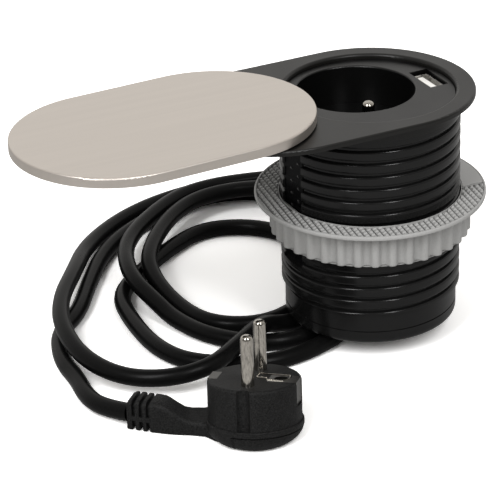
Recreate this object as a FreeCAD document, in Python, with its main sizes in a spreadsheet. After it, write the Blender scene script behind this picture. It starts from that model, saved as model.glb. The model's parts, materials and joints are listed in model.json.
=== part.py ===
import FreeCAD
import Part
import Sketcher
import math
import os

# Desk socket block with an oval flange, a swivel lid, one socket, one USB outlet, a clamp nut and a lead.
# The origin is on the barrel's axis in the plane of the worktop, under the flange. +Z points up and +X
# runs along the flange from the lid's pivot towards the USB outlet. The lid stands open at rest.

Vector = FreeCAD.Vector

SIZES = {
    # clearances
    "running_gap": 0.3,
    "pin_gap": 0.08,
    "screw_gap": 0.2,
    "cut_margin": 1.0,
    "pilot_margin": 2.0,
    # flange
    "tube_radius": 34.4,
    "bezel_half_width": 40.0,
    "bezel_straight": 40.0,
    "flange_thickness": 2.0,
    "flange_edge": 0.8,
    "neck_height": 5.6,
    "neck_wall": 1.9,
    "deck_hole": "=tube_radius - neck_wall",
    "deck_edge": 1.2,
    "deck_drop": 2.0,
    "deck_thickness": 2.4,
    "ledge_width": 1.5,
    "ledge_radius": "=deck_hole - ledge_width",
    "ledge_thickness": 1.4,
    # lid and its pivot
    "pivot_offset": 52.9,
    "lid_turn": 1.8,
    "lid_radius": 38.9,
    "lid_straight": 38.4,
    "lid_gap": 0.8,
    "lid_thickness": 3.8,
    "lid_edge": 0.7,
    "lid_sheet": 0.8,
    "liner_thickness": 3.0,
    "pivot_radius": 3.0,
    "pivot_head": 7.0,
    "pivot_head_height": 1.8,
    "pivot_groove": 2.2,
    "pivot_recess_radius": 8.0,
    "pivot_recess_depth": 1.1,
    "clip_radius": 6.3,
    "clip_thickness": 0.5,
    "pivot_low": 0.15,
    "pivot_tip": 0.1,
    "clip_mouth": 3.6,
    "spring_washer_thickness": 0.3,
    "slide_ring_radius": 13.0,
    "slide_ring_gap": 0.1,
    # barrel
    "band_step": 1.3,
    "band_radius": "=tube_radius - band_step",
    "tube_wall": 3.4,
    "tube_bore": "=tube_radius - tube_wall",
    "spigot_step": 1.6,
    "spigot_radius": "=tube_radius - spigot_step",
    "spigot_height": 1.6,
    "thread_length": 76.9,
    "tube_length": 85.0,
    "key_depth": 1.6,
    "key_flat": "=tube_radius - key_depth",
    "key_half_width": 7.15,
    "key_top": 8.4,
    # bottom cap
    "cap_height": 5.2,
    "cap_floor": 2.2,
    "cap_edge": 2.4,
    "cap_spigot": "=tube_bore - running_gap",
    "cap_spigot_wall": 1.6,
    "cap_spigot_height": 4.0,
    "boss_inset": 2.6,
    "boss_circle": "=tube_bore - boss_inset",
    "boss_radius": 3.2,
    "boss_length": 14.0,
    "screw_shank": 1.5,
    "screw_head": 2.7,
    "screw_head_height": 1.5,
    "screw_length": 12.0,
    # cord outlet under the cap
    "outlet_height": 7.5,
    "outlet_x": 11.22,
    "outlet_y": -5.51,
    "outlet_radius": 11.5,
    "outlet_turn": 63.85,
    "outlet_reach": 36.0,
    "outlet_half_width": 6.8,
    "outlet_roof": 0.6,
    "trim_reach": 30.0,
    "outlet_axis": 5.75,
    "outlet_wall": 1.6,
    "cavity_radius": 9.0,
    # cord, its relief and clamp
    "cord_diameter": 6.8,
    "relief_neck": 4.4,
    "relief_root": 5.4,
    "relief_tip": 4.4,
    "relief_start": 32.6,
    "relief_length": 28.0,
    "collar_radius": 5.3,
    "collar_length": 2.0,
    "collar_reach": 24.5,
    "relief_gap": 0.1,
    "sheath_step": 4.5,
    "tail_reach": 3.0,
    "clamp_length": 25.0,
    "clamp_width": 7.0,
    "clamp_height": 2.4,
    "clamp_reach": 1.0,
    "clamp_screw_spread": 10.25,
    "clamp_screw_length": 7.5,
    "saddle_width": 5.0,
    # socket insert
    "insert_radius": "=deck_hole - running_gap",
    "mouth_x": -3.1,
    "mouth_y": 5.3,
    "mouth_radius": 22.5,
    "well_depth": 15.5,
    "well_wall": 1.5,
    "well_floor": 2.0,
    "mouth_round": 0.6,
    "pin_pitch": 19.0,
    "contact_hole": 2.9,
    "earth_offset": 10.0,
    "earth_radius": 2.4,
    "earth_height": 14.0,
    "earth_root": 2.8,
    "earth_shank": 2.0,
    "earth_collar": 3.8,
    "post_offset": 16.6,
    "post_radius": 3.0,
    # shutter and contact carrier
    "shutter_space": 2.2,
    "shutter_thickness": 1.6,
    "shutter_reach": 13.3,
    "shutter_width": 7.5,
    "shutter_hub": 5.0,
    "shutter_post": 1.8,
    "shutter_post_gap": 0.2,
    "carrier_radius": 19.5,
    "carrier_height": 16.0,
    "carrier_floor": 1.0,
    "spring_recess": 4.5,
    "spring_recess_depth": 2.5,
    "spring_inner": 2.6,
    "spring_outer": 3.6,
    "contact_outer": 3.4,
    "contact_inner": 2.45,
    "contact_length": 12.0,
    "contact_base": 1.0,
    "contact_slot": 0.9,
    "contact_slot_length": 8.4,
    "contact_tail": 6.0,
    "contact_tail_width": 3.0,
    "contact_tail_thickness": 0.8,
    "tail_hole": 1.9,
    "carrier_screw_length": 18.0,
    "carrier_screw_bite": 3.0,
    # USB outlet
    "usb_x": 25.9,
    "usb_y": 0.4,
    "usb_width": 6.0,
    "usb_length": 13.4,
    "usb_depth": 13.4,
    "usb_wall": 0.35,
    "usb_sink": 1.2,
    "window_width": 7.8,
    "window_length": 16.6,
    "tongue_thickness": 1.9,
    "tongue_length": 11.2,
    "tongue_drop": 1.0,
    "tongue_offset": 0.15,
    "tongue_base": 2.0,
    "board_thickness": 1.4,
    "board_width": 31.0,
    "board_height": 50.0,
    "rail_width": 2.0,
    "rail_length": 13.0,
    "rail_cheek": 1.5,
    "rail_cheek_thin": 1.05,
    "rail_lap": 0.5,
    "transformer_y": 5.0,
    "transformer_drop": 36.7,
    "transformer_width": 14.0,
    "transformer_depth": 11.0,
    "transformer_height": 12.0,
    "capacitor_y": -10.0,
    "capacitor_radius": 4.0,
    "capacitor_length": 11.0,
    # terminal block and wiring
    "terminal_x": -12.0,
    "terminal_y": 2.5,
    "terminal_pitch": 10.3,
    "terminal_length": 31.0,
    "terminal_width": 12.0,
    "terminal_height": 13.0,
    "terminal_lift": 3.4,
    "terminal_foot": 5.0,
    "terminal_port": 1.9,
    "terminal_port_depth": 4.0,
    "terminal_low_port": 3.4,
    "terminal_middle_port": 6.5,
    "terminal_high_port": 9.6,
    "terminal_screw": 1.7,
    "terminal_screw_depth": 2.8,
    "wire_diameter": 2.6,
    # clamp washer and nut
    "nut_drop": 39.4,
    "washer_reach": 9.9,
    "washer_radius": "=tube_radius + washer_reach",
    "washer_thickness": 1.7,
    "key_tab_half_width": 6.8,
    "nut_gap": 0.3,
    "nut_wall": 4.2,
    "nut_radius": "=tube_radius + nut_wall",
    "nut_height": 13.8,
    "nut_clearance": 0.35,
    "flute_count": 36,
    "flute_radius": 2.2,
    "flute_depth": 1.0,
    # plug
    "plug_x": -77.08,
    "plug_y": -52.17,
    "plug_heading": -26.15,
    "plug_lean": 10.6,
    "plug_twist": 14.5,
    "plug_radius": 17.2,
    "plug_height": 15.4,
    "plug_round": 1.2,
    "sole_radius": 18.4,
    "sole_height": 5.2,
    "sole_flat": 5.0,
    "sole_mid_radius": 11.0,
    "sole_mid_rise": 1.3,
    "sole_heel_radius": 16.0,
    "sole_heel_rise": 2.8,
    "sole_rim_rise": 4.2,
    "sole_groove": 0.8,
    "guide_radius": 2.6,
    "guide_centre": 17.9,
    "plug_pin_radius": 2.4,
    "plug_pin_length": 19.0,
    "plug_pin_root": 8.0,
    "plug_pin_shank": 2.0,
    "plug_pin_round": 1.8,
    "earth_plate_width": 8.0,
    "earth_plate_thickness": 0.8,
    "earth_plate_flat": 1.5,
    "earth_plate_near": 5.6,
    "earth_plate_left": 13.0,
    "earth_plate_drop": 9.0,
    "earth_sleeve_outer": 3.4,
    "earth_sleeve_bore": 2.5,
    "earth_sleeve_depth": 13.0,
    "arm_turn": 7.0,
    "arm_drop": 15.0,
    "arm_root": 14.0,
    "arm_root_width": 22.0,
    "arm_root_height": 9.0,
    "arm_waist": 27.0,
    "arm_waist_width": 11.0,
    "arm_waist_height": 7.5,
    "boot_start": 36.0,
    "boot_start_width": 11.5,
    "boot_start_height": 10.0,
    "boot_length": 11.0,
    "boot_bend": 22.5,
    "boot_end_width": 10.0,
    "boot_end_height": 9.5,
    "boot_slot": 1.2,
    "boot_slot_depth": 1.3,
    "boot_slot_pitch": 2.6,
    "boot_slot_first": 1.8,
    "boot_slot_reach": 8.0,
}


class Size:
    """A length that knows its formula in the sheet and its value in millimetres."""

    def __init__(self, formula, value):
        self.formula = formula
        self.value = float(value)

    def __float__(self):
        return self.value

    def __neg__(self):
        return Size("-(" + self.formula + ")", -self.value)

    def __add__(self, other):
        other = as_size(other)
        return Size("(" + self.formula + " + " + other.formula + ")", self.value + other.value)

    def __sub__(self, other):
        other = as_size(other)
        return Size("(" + self.formula + " - " + other.formula + ")", self.value - other.value)

    def __mul__(self, other):
        other = as_size(other)
        return Size("(" + self.formula + " * " + other.formula + ")", self.value * other.value)

    def __truediv__(self, other):
        other = as_size(other)
        return Size("(" + self.formula + " / " + other.formula + ")", self.value / other.value)

    __radd__ = __add__
    __rmul__ = __mul__

    def __rsub__(self, other):
        return as_size(other) - self


def as_size(number):
    if isinstance(number, Size):
        return number
    return Size("(" + repr(float(number)) + ")", number)


def cosine(angle):
    return Size("cos(" + as_size(angle).formula + " * 1 deg)", math.cos(math.radians(float(angle))))


def sine(angle):
    return Size("sin(" + as_size(angle).formula + " * 1 deg)", math.sin(math.radians(float(angle))))


doc = FreeCAD.newDocument("desk_socket")
sheet = doc.addObject("Spreadsheet::Sheet", "sizes")
for row, (name, number) in enumerate(SIZES.items(), start=1):
    sheet.set("A" + str(row), name)
    sheet.set("B" + str(row), str(number))
    sheet.setAlias("B" + str(row), name)
doc.recompute()


def size(name):
    return Size("sizes." + name, sheet.get(name))


def bind(item, **formulas):
    """Tie properties of an object to formulas in the sheet."""
    for path, number in formulas.items():
        item.setExpression(path.replace("__", "."), as_size(number).formula)


def put(item, across, along, up):
    bind(item, Placement__Base__x=across, Placement__Base__y=along, Placement__Base__z=up)


nodes = []


def node(item, label):
    item.Label = label
    nodes.append(item)
    return item


# Solids from primitives


def box(name, west, east, south, north, low, high):
    item = doc.addObject("Part::Box", name)
    bind(item, Length=as_size(east) - west, Width=as_size(north) - south, Height=as_size(high) - low)
    put(item, west, south, low)
    return item


def cylinder(name, radius, low, high, across=0.0, along=0.0):
    item = doc.addObject("Part::Cylinder", name)
    bind(item, Radius=radius, Height=as_size(high) - low)
    put(item, across, along, low)
    return item


def fuse(name, *pieces):
    item = doc.addObject("Part::MultiFuse", name)
    item.Shapes = list(pieces)
    return item


def cut(name, base, *tools):
    item = doc.addObject("Part::Cut", name)
    item.Base = base
    item.Tool = tools[0] if len(tools) == 1 else fuse(name + "_tools", *tools)
    return item


def shape_node(label, shape):
    item = doc.addObject("Part::Feature", label)
    item.Shape = shape
    return node(item, label)


# Sketches and features of a body


def new_body(label):
    return node(doc.addObject("PartDesign::Body", label), label)


def new_sketch(body, name, role="XY_Plane", height=None):
    sketch = body.newObject("Sketcher::SketchObject", name)
    plane = next(item for item in body.Origin.OriginFeatures if item.Role == role)
    sketch.AttachmentSupport = [(plane, "")]
    sketch.MapMode = "FlatFace"
    if height is not None:
        bind(sketch, AttachmentOffset__Base__z=height)
    return sketch


def fix_value(sketch, number, *references):
    index = sketch.addConstraint(Sketcher.Constraint(*references, float(number)))
    if isinstance(number, Size):
        sketch.setExpression("Constraints[" + str(index) + "]", number.formula)


def fix_point(sketch, geometry, end, across, along):
    """Hold one point of the sketch at its distances from the sketch's origin."""
    for kind, axis, number in (("DistanceX", -2, across), ("DistanceY", -1, along)):
        if isinstance(number, Size):
            fix_value(sketch, number, kind, -1, 1, geometry, end)
        elif number == 0:
            sketch.addConstraint(Sketcher.Constraint("PointOnObject", geometry, end, axis))
        else:
            fix_value(sketch, number, kind, -1, 1, geometry, end)


def polygon(sketch, corners):
    """Closed outline whose corners are given as pairs of sizes."""
    points = [Vector(float(across), float(along), 0) for across, along in corners]
    sides = []
    for start, end in zip(points, points[1:] + points[:1]):
        sides.append(sketch.addGeometry(Part.LineSegment(start, end), False))
    for side, following in zip(sides, sides[1:] + sides[:1]):
        sketch.addConstraint(Sketcher.Constraint("Coincident", side, 2, following, 1))
    for side, (across, along) in zip(sides, corners):
        fix_point(sketch, side, 1, across, along)


def circle(sketch, radius, across=0, along=0):
    centre = Vector(float(across), float(along), 0)
    index = sketch.addGeometry(Part.Circle(centre, Vector(0, 0, 1), float(radius)), False)
    fix_point(sketch, index, 3, across, along)
    fix_value(sketch, radius, "Radius", index)


def stadium(sketch, west, east, radius):
    """Oval outline of two half circles about points of the X axis, joined by straight sides."""
    x_west, x_east, reach = float(west), float(east), float(radius)
    up = Vector(0, 0, 1)
    west_circle = Part.Circle(Vector(x_west, 0, 0), up, reach)
    east_circle = Part.Circle(Vector(x_east, 0, 0), up, reach)
    quarter = math.pi / 2
    back = sketch.addGeometry(Part.LineSegment(Vector(x_east, reach, 0), Vector(x_west, reach, 0)), False)
    west_arc = sketch.addGeometry(Part.ArcOfCircle(west_circle, quarter, 3 * quarter), False)
    front = sketch.addGeometry(Part.LineSegment(Vector(x_west, -reach, 0), Vector(x_east, -reach, 0)), False)
    east_arc = sketch.addGeometry(Part.ArcOfCircle(east_circle, -quarter, quarter), False)
    ring = [back, west_arc, front, east_arc]
    for side, following in zip(ring, ring[1:] + ring[:1]):
        sketch.addConstraint(Sketcher.Constraint("Tangent", side, 2, following, 1))
    fix_point(sketch, west_arc, 3, west, 0)
    fix_point(sketch, east_arc, 3, east, 0)
    fix_value(sketch, radius, "Radius", west_arc)
    fix_value(sketch, radius, "Radius", east_arc)


def keyhole(sketch, radius, along, top):
    """Upright slot about the sketch's Y axis with a half round bottom, open upwards to a height."""
    reach, centre, high = float(radius), float(along), float(top)
    arc_circle = Part.Circle(Vector(0, centre, 0), Vector(0, 0, 1), reach)
    left = sketch.addGeometry(Part.LineSegment(Vector(-reach, high, 0), Vector(-reach, centre, 0)), False)
    bottom = sketch.addGeometry(Part.ArcOfCircle(arc_circle, math.pi, 2 * math.pi), False)
    right = sketch.addGeometry(Part.LineSegment(Vector(reach, centre, 0), Vector(reach, high, 0)), False)
    lid = sketch.addGeometry(Part.LineSegment(Vector(reach, high, 0), Vector(-reach, high, 0)), False)
    sketch.addConstraint(Sketcher.Constraint("Tangent", left, 2, bottom, 1))
    sketch.addConstraint(Sketcher.Constraint("Tangent", bottom, 2, right, 1))
    sketch.addConstraint(Sketcher.Constraint("Coincident", right, 2, lid, 1))
    sketch.addConstraint(Sketcher.Constraint("Coincident", lid, 2, left, 1))
    sketch.addConstraint(Sketcher.Constraint("Vertical", left))
    sketch.addConstraint(Sketcher.Constraint("Vertical", right))
    sketch.addConstraint(Sketcher.Constraint("Horizontal", lid))
    fix_point(sketch, bottom, 3, 0, along)
    fix_value(sketch, radius, "Radius", bottom)
    fix_value(sketch, top, "DistanceY", -1, 1, lid, 1)


def pad(body, sketch, name, length, downwards=False):
    feature = body.newObject("PartDesign::Pad", name)
    feature.Profile = sketch
    feature.Reversed = downwards
    bind(feature, Length=length)
    doc.recompute()
    return feature


def pocket(body, sketch, name, depth=None, upwards=False):
    """Cut a sketch down, or up, by a depth or right through, and prove that it takes something away."""
    before = body.Shape.Volume
    feature = body.newObject("PartDesign::Pocket", name)
    feature.Profile = sketch
    feature.Reversed = upwards
    if depth is None:
        feature.Type = "ThroughAll"
    else:
        bind(feature, Length=depth)
    doc.recompute()
    if body.Shape.Volume >= before - 1e-3:
        raise RuntimeError(name + " cuts nothing")
    return feature


def revolve(body, sketch, name):
    feature = body.newObject("PartDesign::Revolution", name)
    feature.Profile = sketch
    feature.ReferenceAxis = (sketch, ["V_Axis"])
    feature.Angle = 360
    doc.recompute()
    return feature


def polar(body, features, sketch, name, count):
    feature = body.newObject("PartDesign::PolarPattern", name)
    feature.Originals = features
    feature.Axis = (sketch, ["N_Axis"])
    feature.Angle = 360
    bind(feature, Occurrences=count)
    body.Tip = feature
    doc.recompute()
    return feature


def round_edges(body, base, name, radius, wanted):
    names = ["Edge" + str(i) for i, edge in enumerate(base.Shape.Edges, start=1) if wanted(edge)]
    if not names:
        raise RuntimeError(name + " finds no edge")
    feature = body.newObject("PartDesign::Fillet", name)
    feature.Base = (base, names)
    bind(feature, Radius=radius)
    body.Tip = feature
    doc.recompute()
    return feature


def level(edge, height):
    """Whether an edge lies all in the plane at a height."""
    bounds = edge.BoundBox
    return abs(bounds.ZMin - float(height)) < 1e-4 and abs(bounds.ZMax - float(height)) < 1e-4


# Round rods along a route of straight runs joined by tangent arcs


def rounded_route(points, bend=None):
    """Wire through the points with an arc at each inner one, and the arcs' radii."""
    edges = []
    radii = []
    here = points[0]
    for before, corner, after in zip(points, points[1:], points[2:]):
        arriving = (corner - before).normalize()
        leaving = (after - corner).normalize()
        half_turn = arriving.getAngle(leaving) / 2
        radius = bend
        if radius is None:
            radius = 0.45 * min((corner - before).Length, (after - corner).Length) / math.tan(half_turn)
        reach = radius * math.tan(half_turn)
        start = corner - arriving * reach
        end = corner + leaving * reach
        inward = (leaving - arriving).normalize()
        middle = corner + inward * (radius / math.cos(half_turn) - radius)
        edges.append(Part.LineSegment(here, start).toShape())
        edges.append(Part.Arc(start, middle, end).toShape())
        radii.append(radius)
        here = end
    edges.append(Part.LineSegment(here, points[-1]).toShape())
    return Part.Wire(edges), radii


def rod(points, diameter, bend=None):
    """Rod of a constant round section along a route, checked against its section times its length."""
    path, radii = rounded_route(points, bend)
    direction = (points[1] - points[0]).normalize()
    ring = Part.Wire(Part.Circle(points[0], direction, diameter / 2).toShape())
    solid = path.makePipeShell([ring], True, False)
    expected = path.Length * math.pi * diameter ** 2 / 4
    if abs(solid.Volume / expected - 1) > 0.01:
        raise RuntimeError("a rod's volume differs from its section times its length")
    return solid, path, radii


# Levels and places that several pieces share

flange_top = size("flange_thickness")
deck_top = flange_top - size("deck_drop")
deck_under = deck_top - size("deck_thickness")
well_bed = deck_top - size("well_depth")
well_under = well_bed - size("well_floor")
carrier_top = well_under - size("shutter_space")
carrier_under = carrier_top - size("carrier_height")
neck_low = -size("neck_height")
thread_low = -size("thread_length")
tube_low = -size("tube_length")
cap_low = tube_low - size("cap_height")
cap_inside = cap_low + size("cap_floor")
ground = cap_low - size("outlet_height")
cord_level = ground + size("outlet_axis")
mouth_x = size("mouth_x")
mouth_y = size("mouth_y")
pivot_x = -size("pivot_offset")
lid_low = flange_top + size("lid_gap")
lid_top = lid_low + size("lid_thickness")
lid_under_sheet = lid_top - size("lid_sheet")
washer_top = -size("nut_drop")
washer_low = washer_top - size("washer_thickness")
nut_top = washer_low - size("nut_gap")
nut_low = nut_top - size("nut_height")
lid_middle = size("bezel_straight") / 2 - size("pivot_offset")
lid_west = lid_middle - size("lid_straight") / 2
lid_east = lid_middle + size("lid_straight") / 2
clip_low = size("pivot_low") + size("pivot_tip")
contact_low = carrier_under + size("carrier_floor")
tail_low = contact_low - size("contact_tail")
board_east = size("usb_x") - size("usb_width") / 2
board_west = board_east - size("board_thickness")
board_low = deck_under - size("board_height")
clamp_low = cap_inside
cord_radius = size("cord_diameter") / 2
SCREW_TURNS = (90, 210, 330)
POST_TURNS = (90, 250, 290)


# Flange with its neck

bezel = new_body("bezel")
bezel_plan = new_sketch(bezel, "bezel_plan")
stadium(bezel_plan, -size("bezel_straight"), 0, size("bezel_half_width"))
bezel_plate = pad(bezel, bezel_plan, "bezel_plate", size("flange_thickness"))
round_edges(bezel, bezel_plate, "bezel_soft_edge", size("flange_edge"),
            lambda edge: level(edge, flange_top))
neck_plan = new_sketch(bezel, "neck_plan")
circle(neck_plan, size("tube_radius"))
pad(bezel, neck_plan, "neck", size("neck_height"), downwards=True)
deck_plan = new_sketch(bezel, "deck_seat_plan", height=flange_top)
circle(deck_plan, size("deck_hole"))
deck_seat = pocket(bezel, deck_plan, "deck_seat", size("deck_drop") + size("deck_thickness"))
round_edges(bezel, deck_seat, "deck_soft_edge", size("deck_edge"),
            lambda edge: level(edge, flange_top) and isinstance(edge.Curve, Part.Circle)
            and abs(edge.Curve.Radius - float(size("deck_hole"))) < 1e-4)
ledge_plan = new_sketch(bezel, "ledge_plan", height=flange_top)
circle(ledge_plan, size("ledge_radius"))
pocket(bezel, ledge_plan, "ledge_bore")
neck_seat_plan = new_sketch(bezel, "neck_seat_plan", height=neck_low)
circle(neck_seat_plan, size("spigot_radius") + size("running_gap"))
pocket(bezel, neck_seat_plan, "neck_seat", deck_under - size("ledge_thickness") - neck_low, upwards=True)
pivot_bore_plan = new_sketch(bezel, "pivot_bore_plan", height=flange_top)
circle(pivot_bore_plan, size("pivot_radius") + size("pin_gap"), pivot_x, 0)
pocket(bezel, pivot_bore_plan, "pivot_bore")
pivot_recess_plan = new_sketch(bezel, "pivot_recess_plan")
circle(pivot_recess_plan, size("pivot_recess_radius"), pivot_x, 0)
pocket(bezel, pivot_recess_plan, "pivot_recess", size("pivot_recess_depth"), upwards=True)


# Threaded barrel: thread land, plain band, spigot into the neck, key channel and screw bosses

tube = new_body("threaded_tube")
tube_section = new_sketch(tube, "tube_section", "XZ_Plane")
polygon(tube_section, [
    (size("tube_bore"), tube_low),
    (size("band_radius"), tube_low),
    (size("band_radius"), thread_low),
    (size("tube_radius"), thread_low + size("tube_radius") - size("band_radius")),
    (size("tube_radius"), neck_low),
    (size("spigot_radius"), neck_low),
    (size("spigot_radius"), neck_low + size("spigot_height")),
    (size("tube_bore"), neck_low + size("spigot_height")),
])
revolve(tube, tube_section, "tube_wall")
key_plan = new_sketch(tube, "key_plan", height=-size("key_top"))
polygon(key_plan, [
    (-size("tube_radius") - size("cut_margin"), -size("key_half_width")),
    (-size("key_flat"), -size("key_half_width")),
    (-size("key_flat"), size("key_half_width")),
    (-size("tube_radius") - size("cut_margin"), size("key_half_width")),
])
pocket(tube, key_plan, "key_channel", size("thread_length") - size("key_top"))
tube_boss_plan = new_sketch(tube, "tube_boss_plan", height=tube_low)
circle(tube_boss_plan, size("boss_radius"), 0, size("boss_circle"))
tube_boss = pad(tube, tube_boss_plan, "tube_boss", size("boss_length"))
tube_bosses = polar(tube, [tube_boss], tube_boss_plan, "tube_bosses", 3)
tube_pilot_plan = new_sketch(tube, "tube_pilot_plan", height=tube_low)
circle(tube_pilot_plan, size("screw_shank") + size("pin_gap"), 0, size("boss_circle"))
tube_pilot = pocket(tube, tube_pilot_plan, "tube_pilot",
                    size("boss_length") - size("pilot_margin"), upwards=True)
polar(tube, [tube_pilot], tube_pilot_plan, "tube_pilots", 3)


# Bottom cap with the cord outlet on its underside

cap = new_body("bottom_cap")
cap_section = new_sketch(cap, "cap_section", "XZ_Plane")
polygon(cap_section, [
    (0, cap_low),
    (size("band_radius"), cap_low),
    (size("band_radius"), tube_low),
    (size("cap_spigot"), tube_low),
    (size("cap_spigot"), tube_low + size("cap_spigot_height")),
    (size("cap_spigot") - size("cap_spigot_wall"), tube_low + size("cap_spigot_height")),
    (size("cap_spigot") - size("cap_spigot_wall"), cap_inside),
    (0, cap_inside),
])
cap_shell = revolve(cap, cap_section, "cap_shell")
round_edges(cap, cap_shell, "cap_soft_edge", size("cap_edge"),
            lambda edge: level(edge, cap_low))
outlet_plan = new_sketch(cap, "outlet_plan", height=ground)
circle(outlet_plan, size("outlet_radius"), size("outlet_x"), size("outlet_y"))
pad(cap, outlet_plan, "outlet_boss", size("outlet_height") + size("cap_floor"))
turn_x = cosine(size("outlet_turn"))
turn_y = sine(size("outlet_turn"))


def outlet_point(reach, side):
    """Place in plan at a reach along the cord's outlet and a distance to its left."""
    across = size("outlet_x") + turn_x * reach - turn_y * side
    along = size("outlet_y") + turn_y * reach + turn_x * side
    return across, along


lobe_plan = new_sketch(cap, "lobe_plan", height=ground)
polygon(lobe_plan, [
    outlet_point(0, -size("outlet_half_width")),
    outlet_point(size("outlet_reach"), -size("outlet_half_width")),
    outlet_point(size("outlet_reach"), size("outlet_half_width")),
    outlet_point(0, size("outlet_half_width")),
])
pad(cap, lobe_plan, "outlet_lobe", size("outlet_axis") + size("collar_radius") + size("outlet_roof"))
trim_plan = new_sketch(cap, "lobe_trim_plan", height=ground)
circle(trim_plan, size("band_radius"))
circle(trim_plan, size("band_radius") + size("trim_reach"))
pocket(cap, trim_plan, "lobe_trim", size("outlet_height") + size("cap_height"), upwards=True)
notch_plan = new_sketch(cap, "screw_notch_plan", height=tube_low + size("cap_spigot_height"))
circle(notch_plan, size("boss_radius") + size("running_gap") * 2, 0, size("boss_circle"))
notch = pocket(cap, notch_plan, "screw_notch", size("cap_spigot_height"))
polar(cap, [notch], notch_plan, "screw_notches", 3)
pillar_plan = new_sketch(cap, "pillar_plan", height=cap_inside)
circle(pillar_plan, size("boss_radius"), 0, size("boss_circle"))
pillar = pad(cap, pillar_plan, "pillar", tube_low - cap_inside)
polar(cap, [pillar], pillar_plan, "pillars", 3)
head_plan = new_sketch(cap, "screw_head_plan", height=cap_low)
circle(head_plan, size("screw_head") + size("running_gap"), 0, size("boss_circle"))
head_hole = pocket(cap, head_plan, "screw_head_recess", size("screw_head_height"), upwards=True)
shank_plan = new_sketch(cap, "screw_hole_plan", height=cap_low)
circle(shank_plan, size("screw_shank") + size("screw_gap"), 0, size("boss_circle"))
shank_hole = pocket(cap, shank_plan, "screw_hole", size("cap_height"), upwards=True)
polar(cap, [head_hole, shank_hole], shank_plan, "screw_holes", 3)
cavity_plan = new_sketch(cap, "cavity_plan", height=ground + size("outlet_wall"))
circle(cavity_plan, size("cavity_radius"), size("outlet_x"), size("outlet_y"))
pocket(cap, cavity_plan, "outlet_cavity",
       size("outlet_height") + size("cap_floor") + size("cap_spigot_height"), upwards=True)
clamp_pilot_plan = new_sketch(cap, "clamp_pilot_plan", height=cap_inside)
for side in (-1, 1):
    circle(clamp_pilot_plan, size("screw_shank") + size("pin_gap"),
           *outlet_point(size("clamp_reach"), size("clamp_screw_spread") * side))
pocket(cap, clamp_pilot_plan, "clamp_pilots",
       size("clamp_screw_length") - size("clamp_height") + size("screw_gap"))


def outlet_sketch(body, name, reach):
    """Upright sketch square to the cord's outlet, with its Y axis above a reach along it."""
    sketch = new_sketch(body, name, "XZ_Plane")
    sketch.AttachmentOffset = FreeCAD.Placement(Vector(0, 0, 0), FreeCAD.Rotation(Vector(0, 1, 0), -45))
    across, along = outlet_point(reach, 0)
    bind(sketch, AttachmentOffset__Base__x=across, AttachmentOffset__Base__z=-along,
         AttachmentOffset__Rotation__Angle=size("outlet_turn") - 90)
    return sketch


slot_top = tube_low + size("cap_spigot_height") + size("cut_margin")
neck_slot = outlet_sketch(cap, "neck_slot_plan", 0)
keyhole(neck_slot, size("relief_neck") + size("relief_gap"), cord_level, slot_top)
pocket(cap, neck_slot, "neck_slot", size("outlet_reach"))
collar_slot = outlet_sketch(cap, "collar_slot_plan", size("collar_reach") - size("relief_gap"))
keyhole(collar_slot, size("collar_radius") + size("relief_gap"), cord_level, slot_top)
pocket(cap, collar_slot, "collar_slot", size("collar_length") + size("relief_gap") * 2)


# Screws


def screw(name, across, along, seat, length, upwards=True):
    """Screw with its head against a seat and its shank going up, or down, from there."""
    if upwards:
        head = cylinder(name + "_head", size("screw_head"), seat - size("screw_head_height"), seat,
                        across, along)
        shank = cylinder(name + "_shank", size("screw_shank"), seat, seat + length, across, along)
    else:
        head = cylinder(name + "_head", size("screw_head"), seat, seat + size("screw_head_height"),
                        across, along)
        shank = cylinder(name + "_shank", size("screw_shank"), seat - length, seat, across, along)
    return fuse(name, head, shank)


def round_the_axis(radius, turn, across=0.0, along=0.0):
    return radius * cosine(turn) + across, radius * sine(turn) + along


node(fuse("cap_screw_set", *[
    screw("cap_screw_" + str(turn), *round_the_axis(size("boss_circle"), turn),
          cap_low + size("screw_head_height"), size("screw_length"))
    for turn in SCREW_TURNS
]), "cap_screws")


# Cord relief: sheath end in the cap, collar held in the outlet, and the tapered sleeve outside

relief = new_body("strain_relief")
relief_section = new_sketch(relief, "relief_section")
relief_section.AttachmentOffset = FreeCAD.Placement(Vector(0, 0, 0), FreeCAD.Rotation(Vector(0, 0, 1), 45))
bind(relief_section, AttachmentOffset__Base__x=size("outlet_x"), AttachmentOffset__Base__y=size("outlet_y"),
     AttachmentOffset__Base__z=cord_level, AttachmentOffset__Rotation__Angle=size("outlet_turn"))
sheath_end = size("collar_reach") - size("sheath_step")
collar_end = size("collar_reach") + size("collar_length")
relief_end = size("relief_start") + size("relief_length")
polygon(relief_section, [
    (-size("tail_reach"), 0),
    (relief_end, 0),
    (relief_end, size("relief_tip")),
    (size("relief_start"), size("relief_root")),
    (size("relief_start"), size("relief_neck")),
    (collar_end, size("relief_neck")),
    (collar_end, size("collar_radius")),
    (size("collar_reach"), size("collar_radius")),
    (size("collar_reach"), size("relief_neck")),
    (sheath_end, size("relief_neck")),
    (sheath_end, cord_radius),
    (-size("tail_reach"), cord_radius),
])
relief_turned = relief.newObject("PartDesign::Revolution", "relief_turned")
relief_turned.Profile = relief_section
relief_turned.ReferenceAxis = (relief_section, ["H_Axis"])
relief_turned.Angle = 360
doc.recompute()


# Clamp that holds the sheath down in the cap


def outlet_box(name, reach, length, width, low, high):
    """Block centred on the cord's line, at a reach along it."""
    item = doc.addObject("Part::Box", name)
    item.Placement = FreeCAD.Placement(Vector(0, 0, 0), FreeCAD.Rotation(Vector(0, 0, 1), 45))
    across, along = outlet_point(reach - length / 2, -width / 2)
    bind(item, Length=length, Width=width, Height=high - low, Placement__Rotation__Angle=size("outlet_turn"))
    put(item, across, along, low)
    return item


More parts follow.
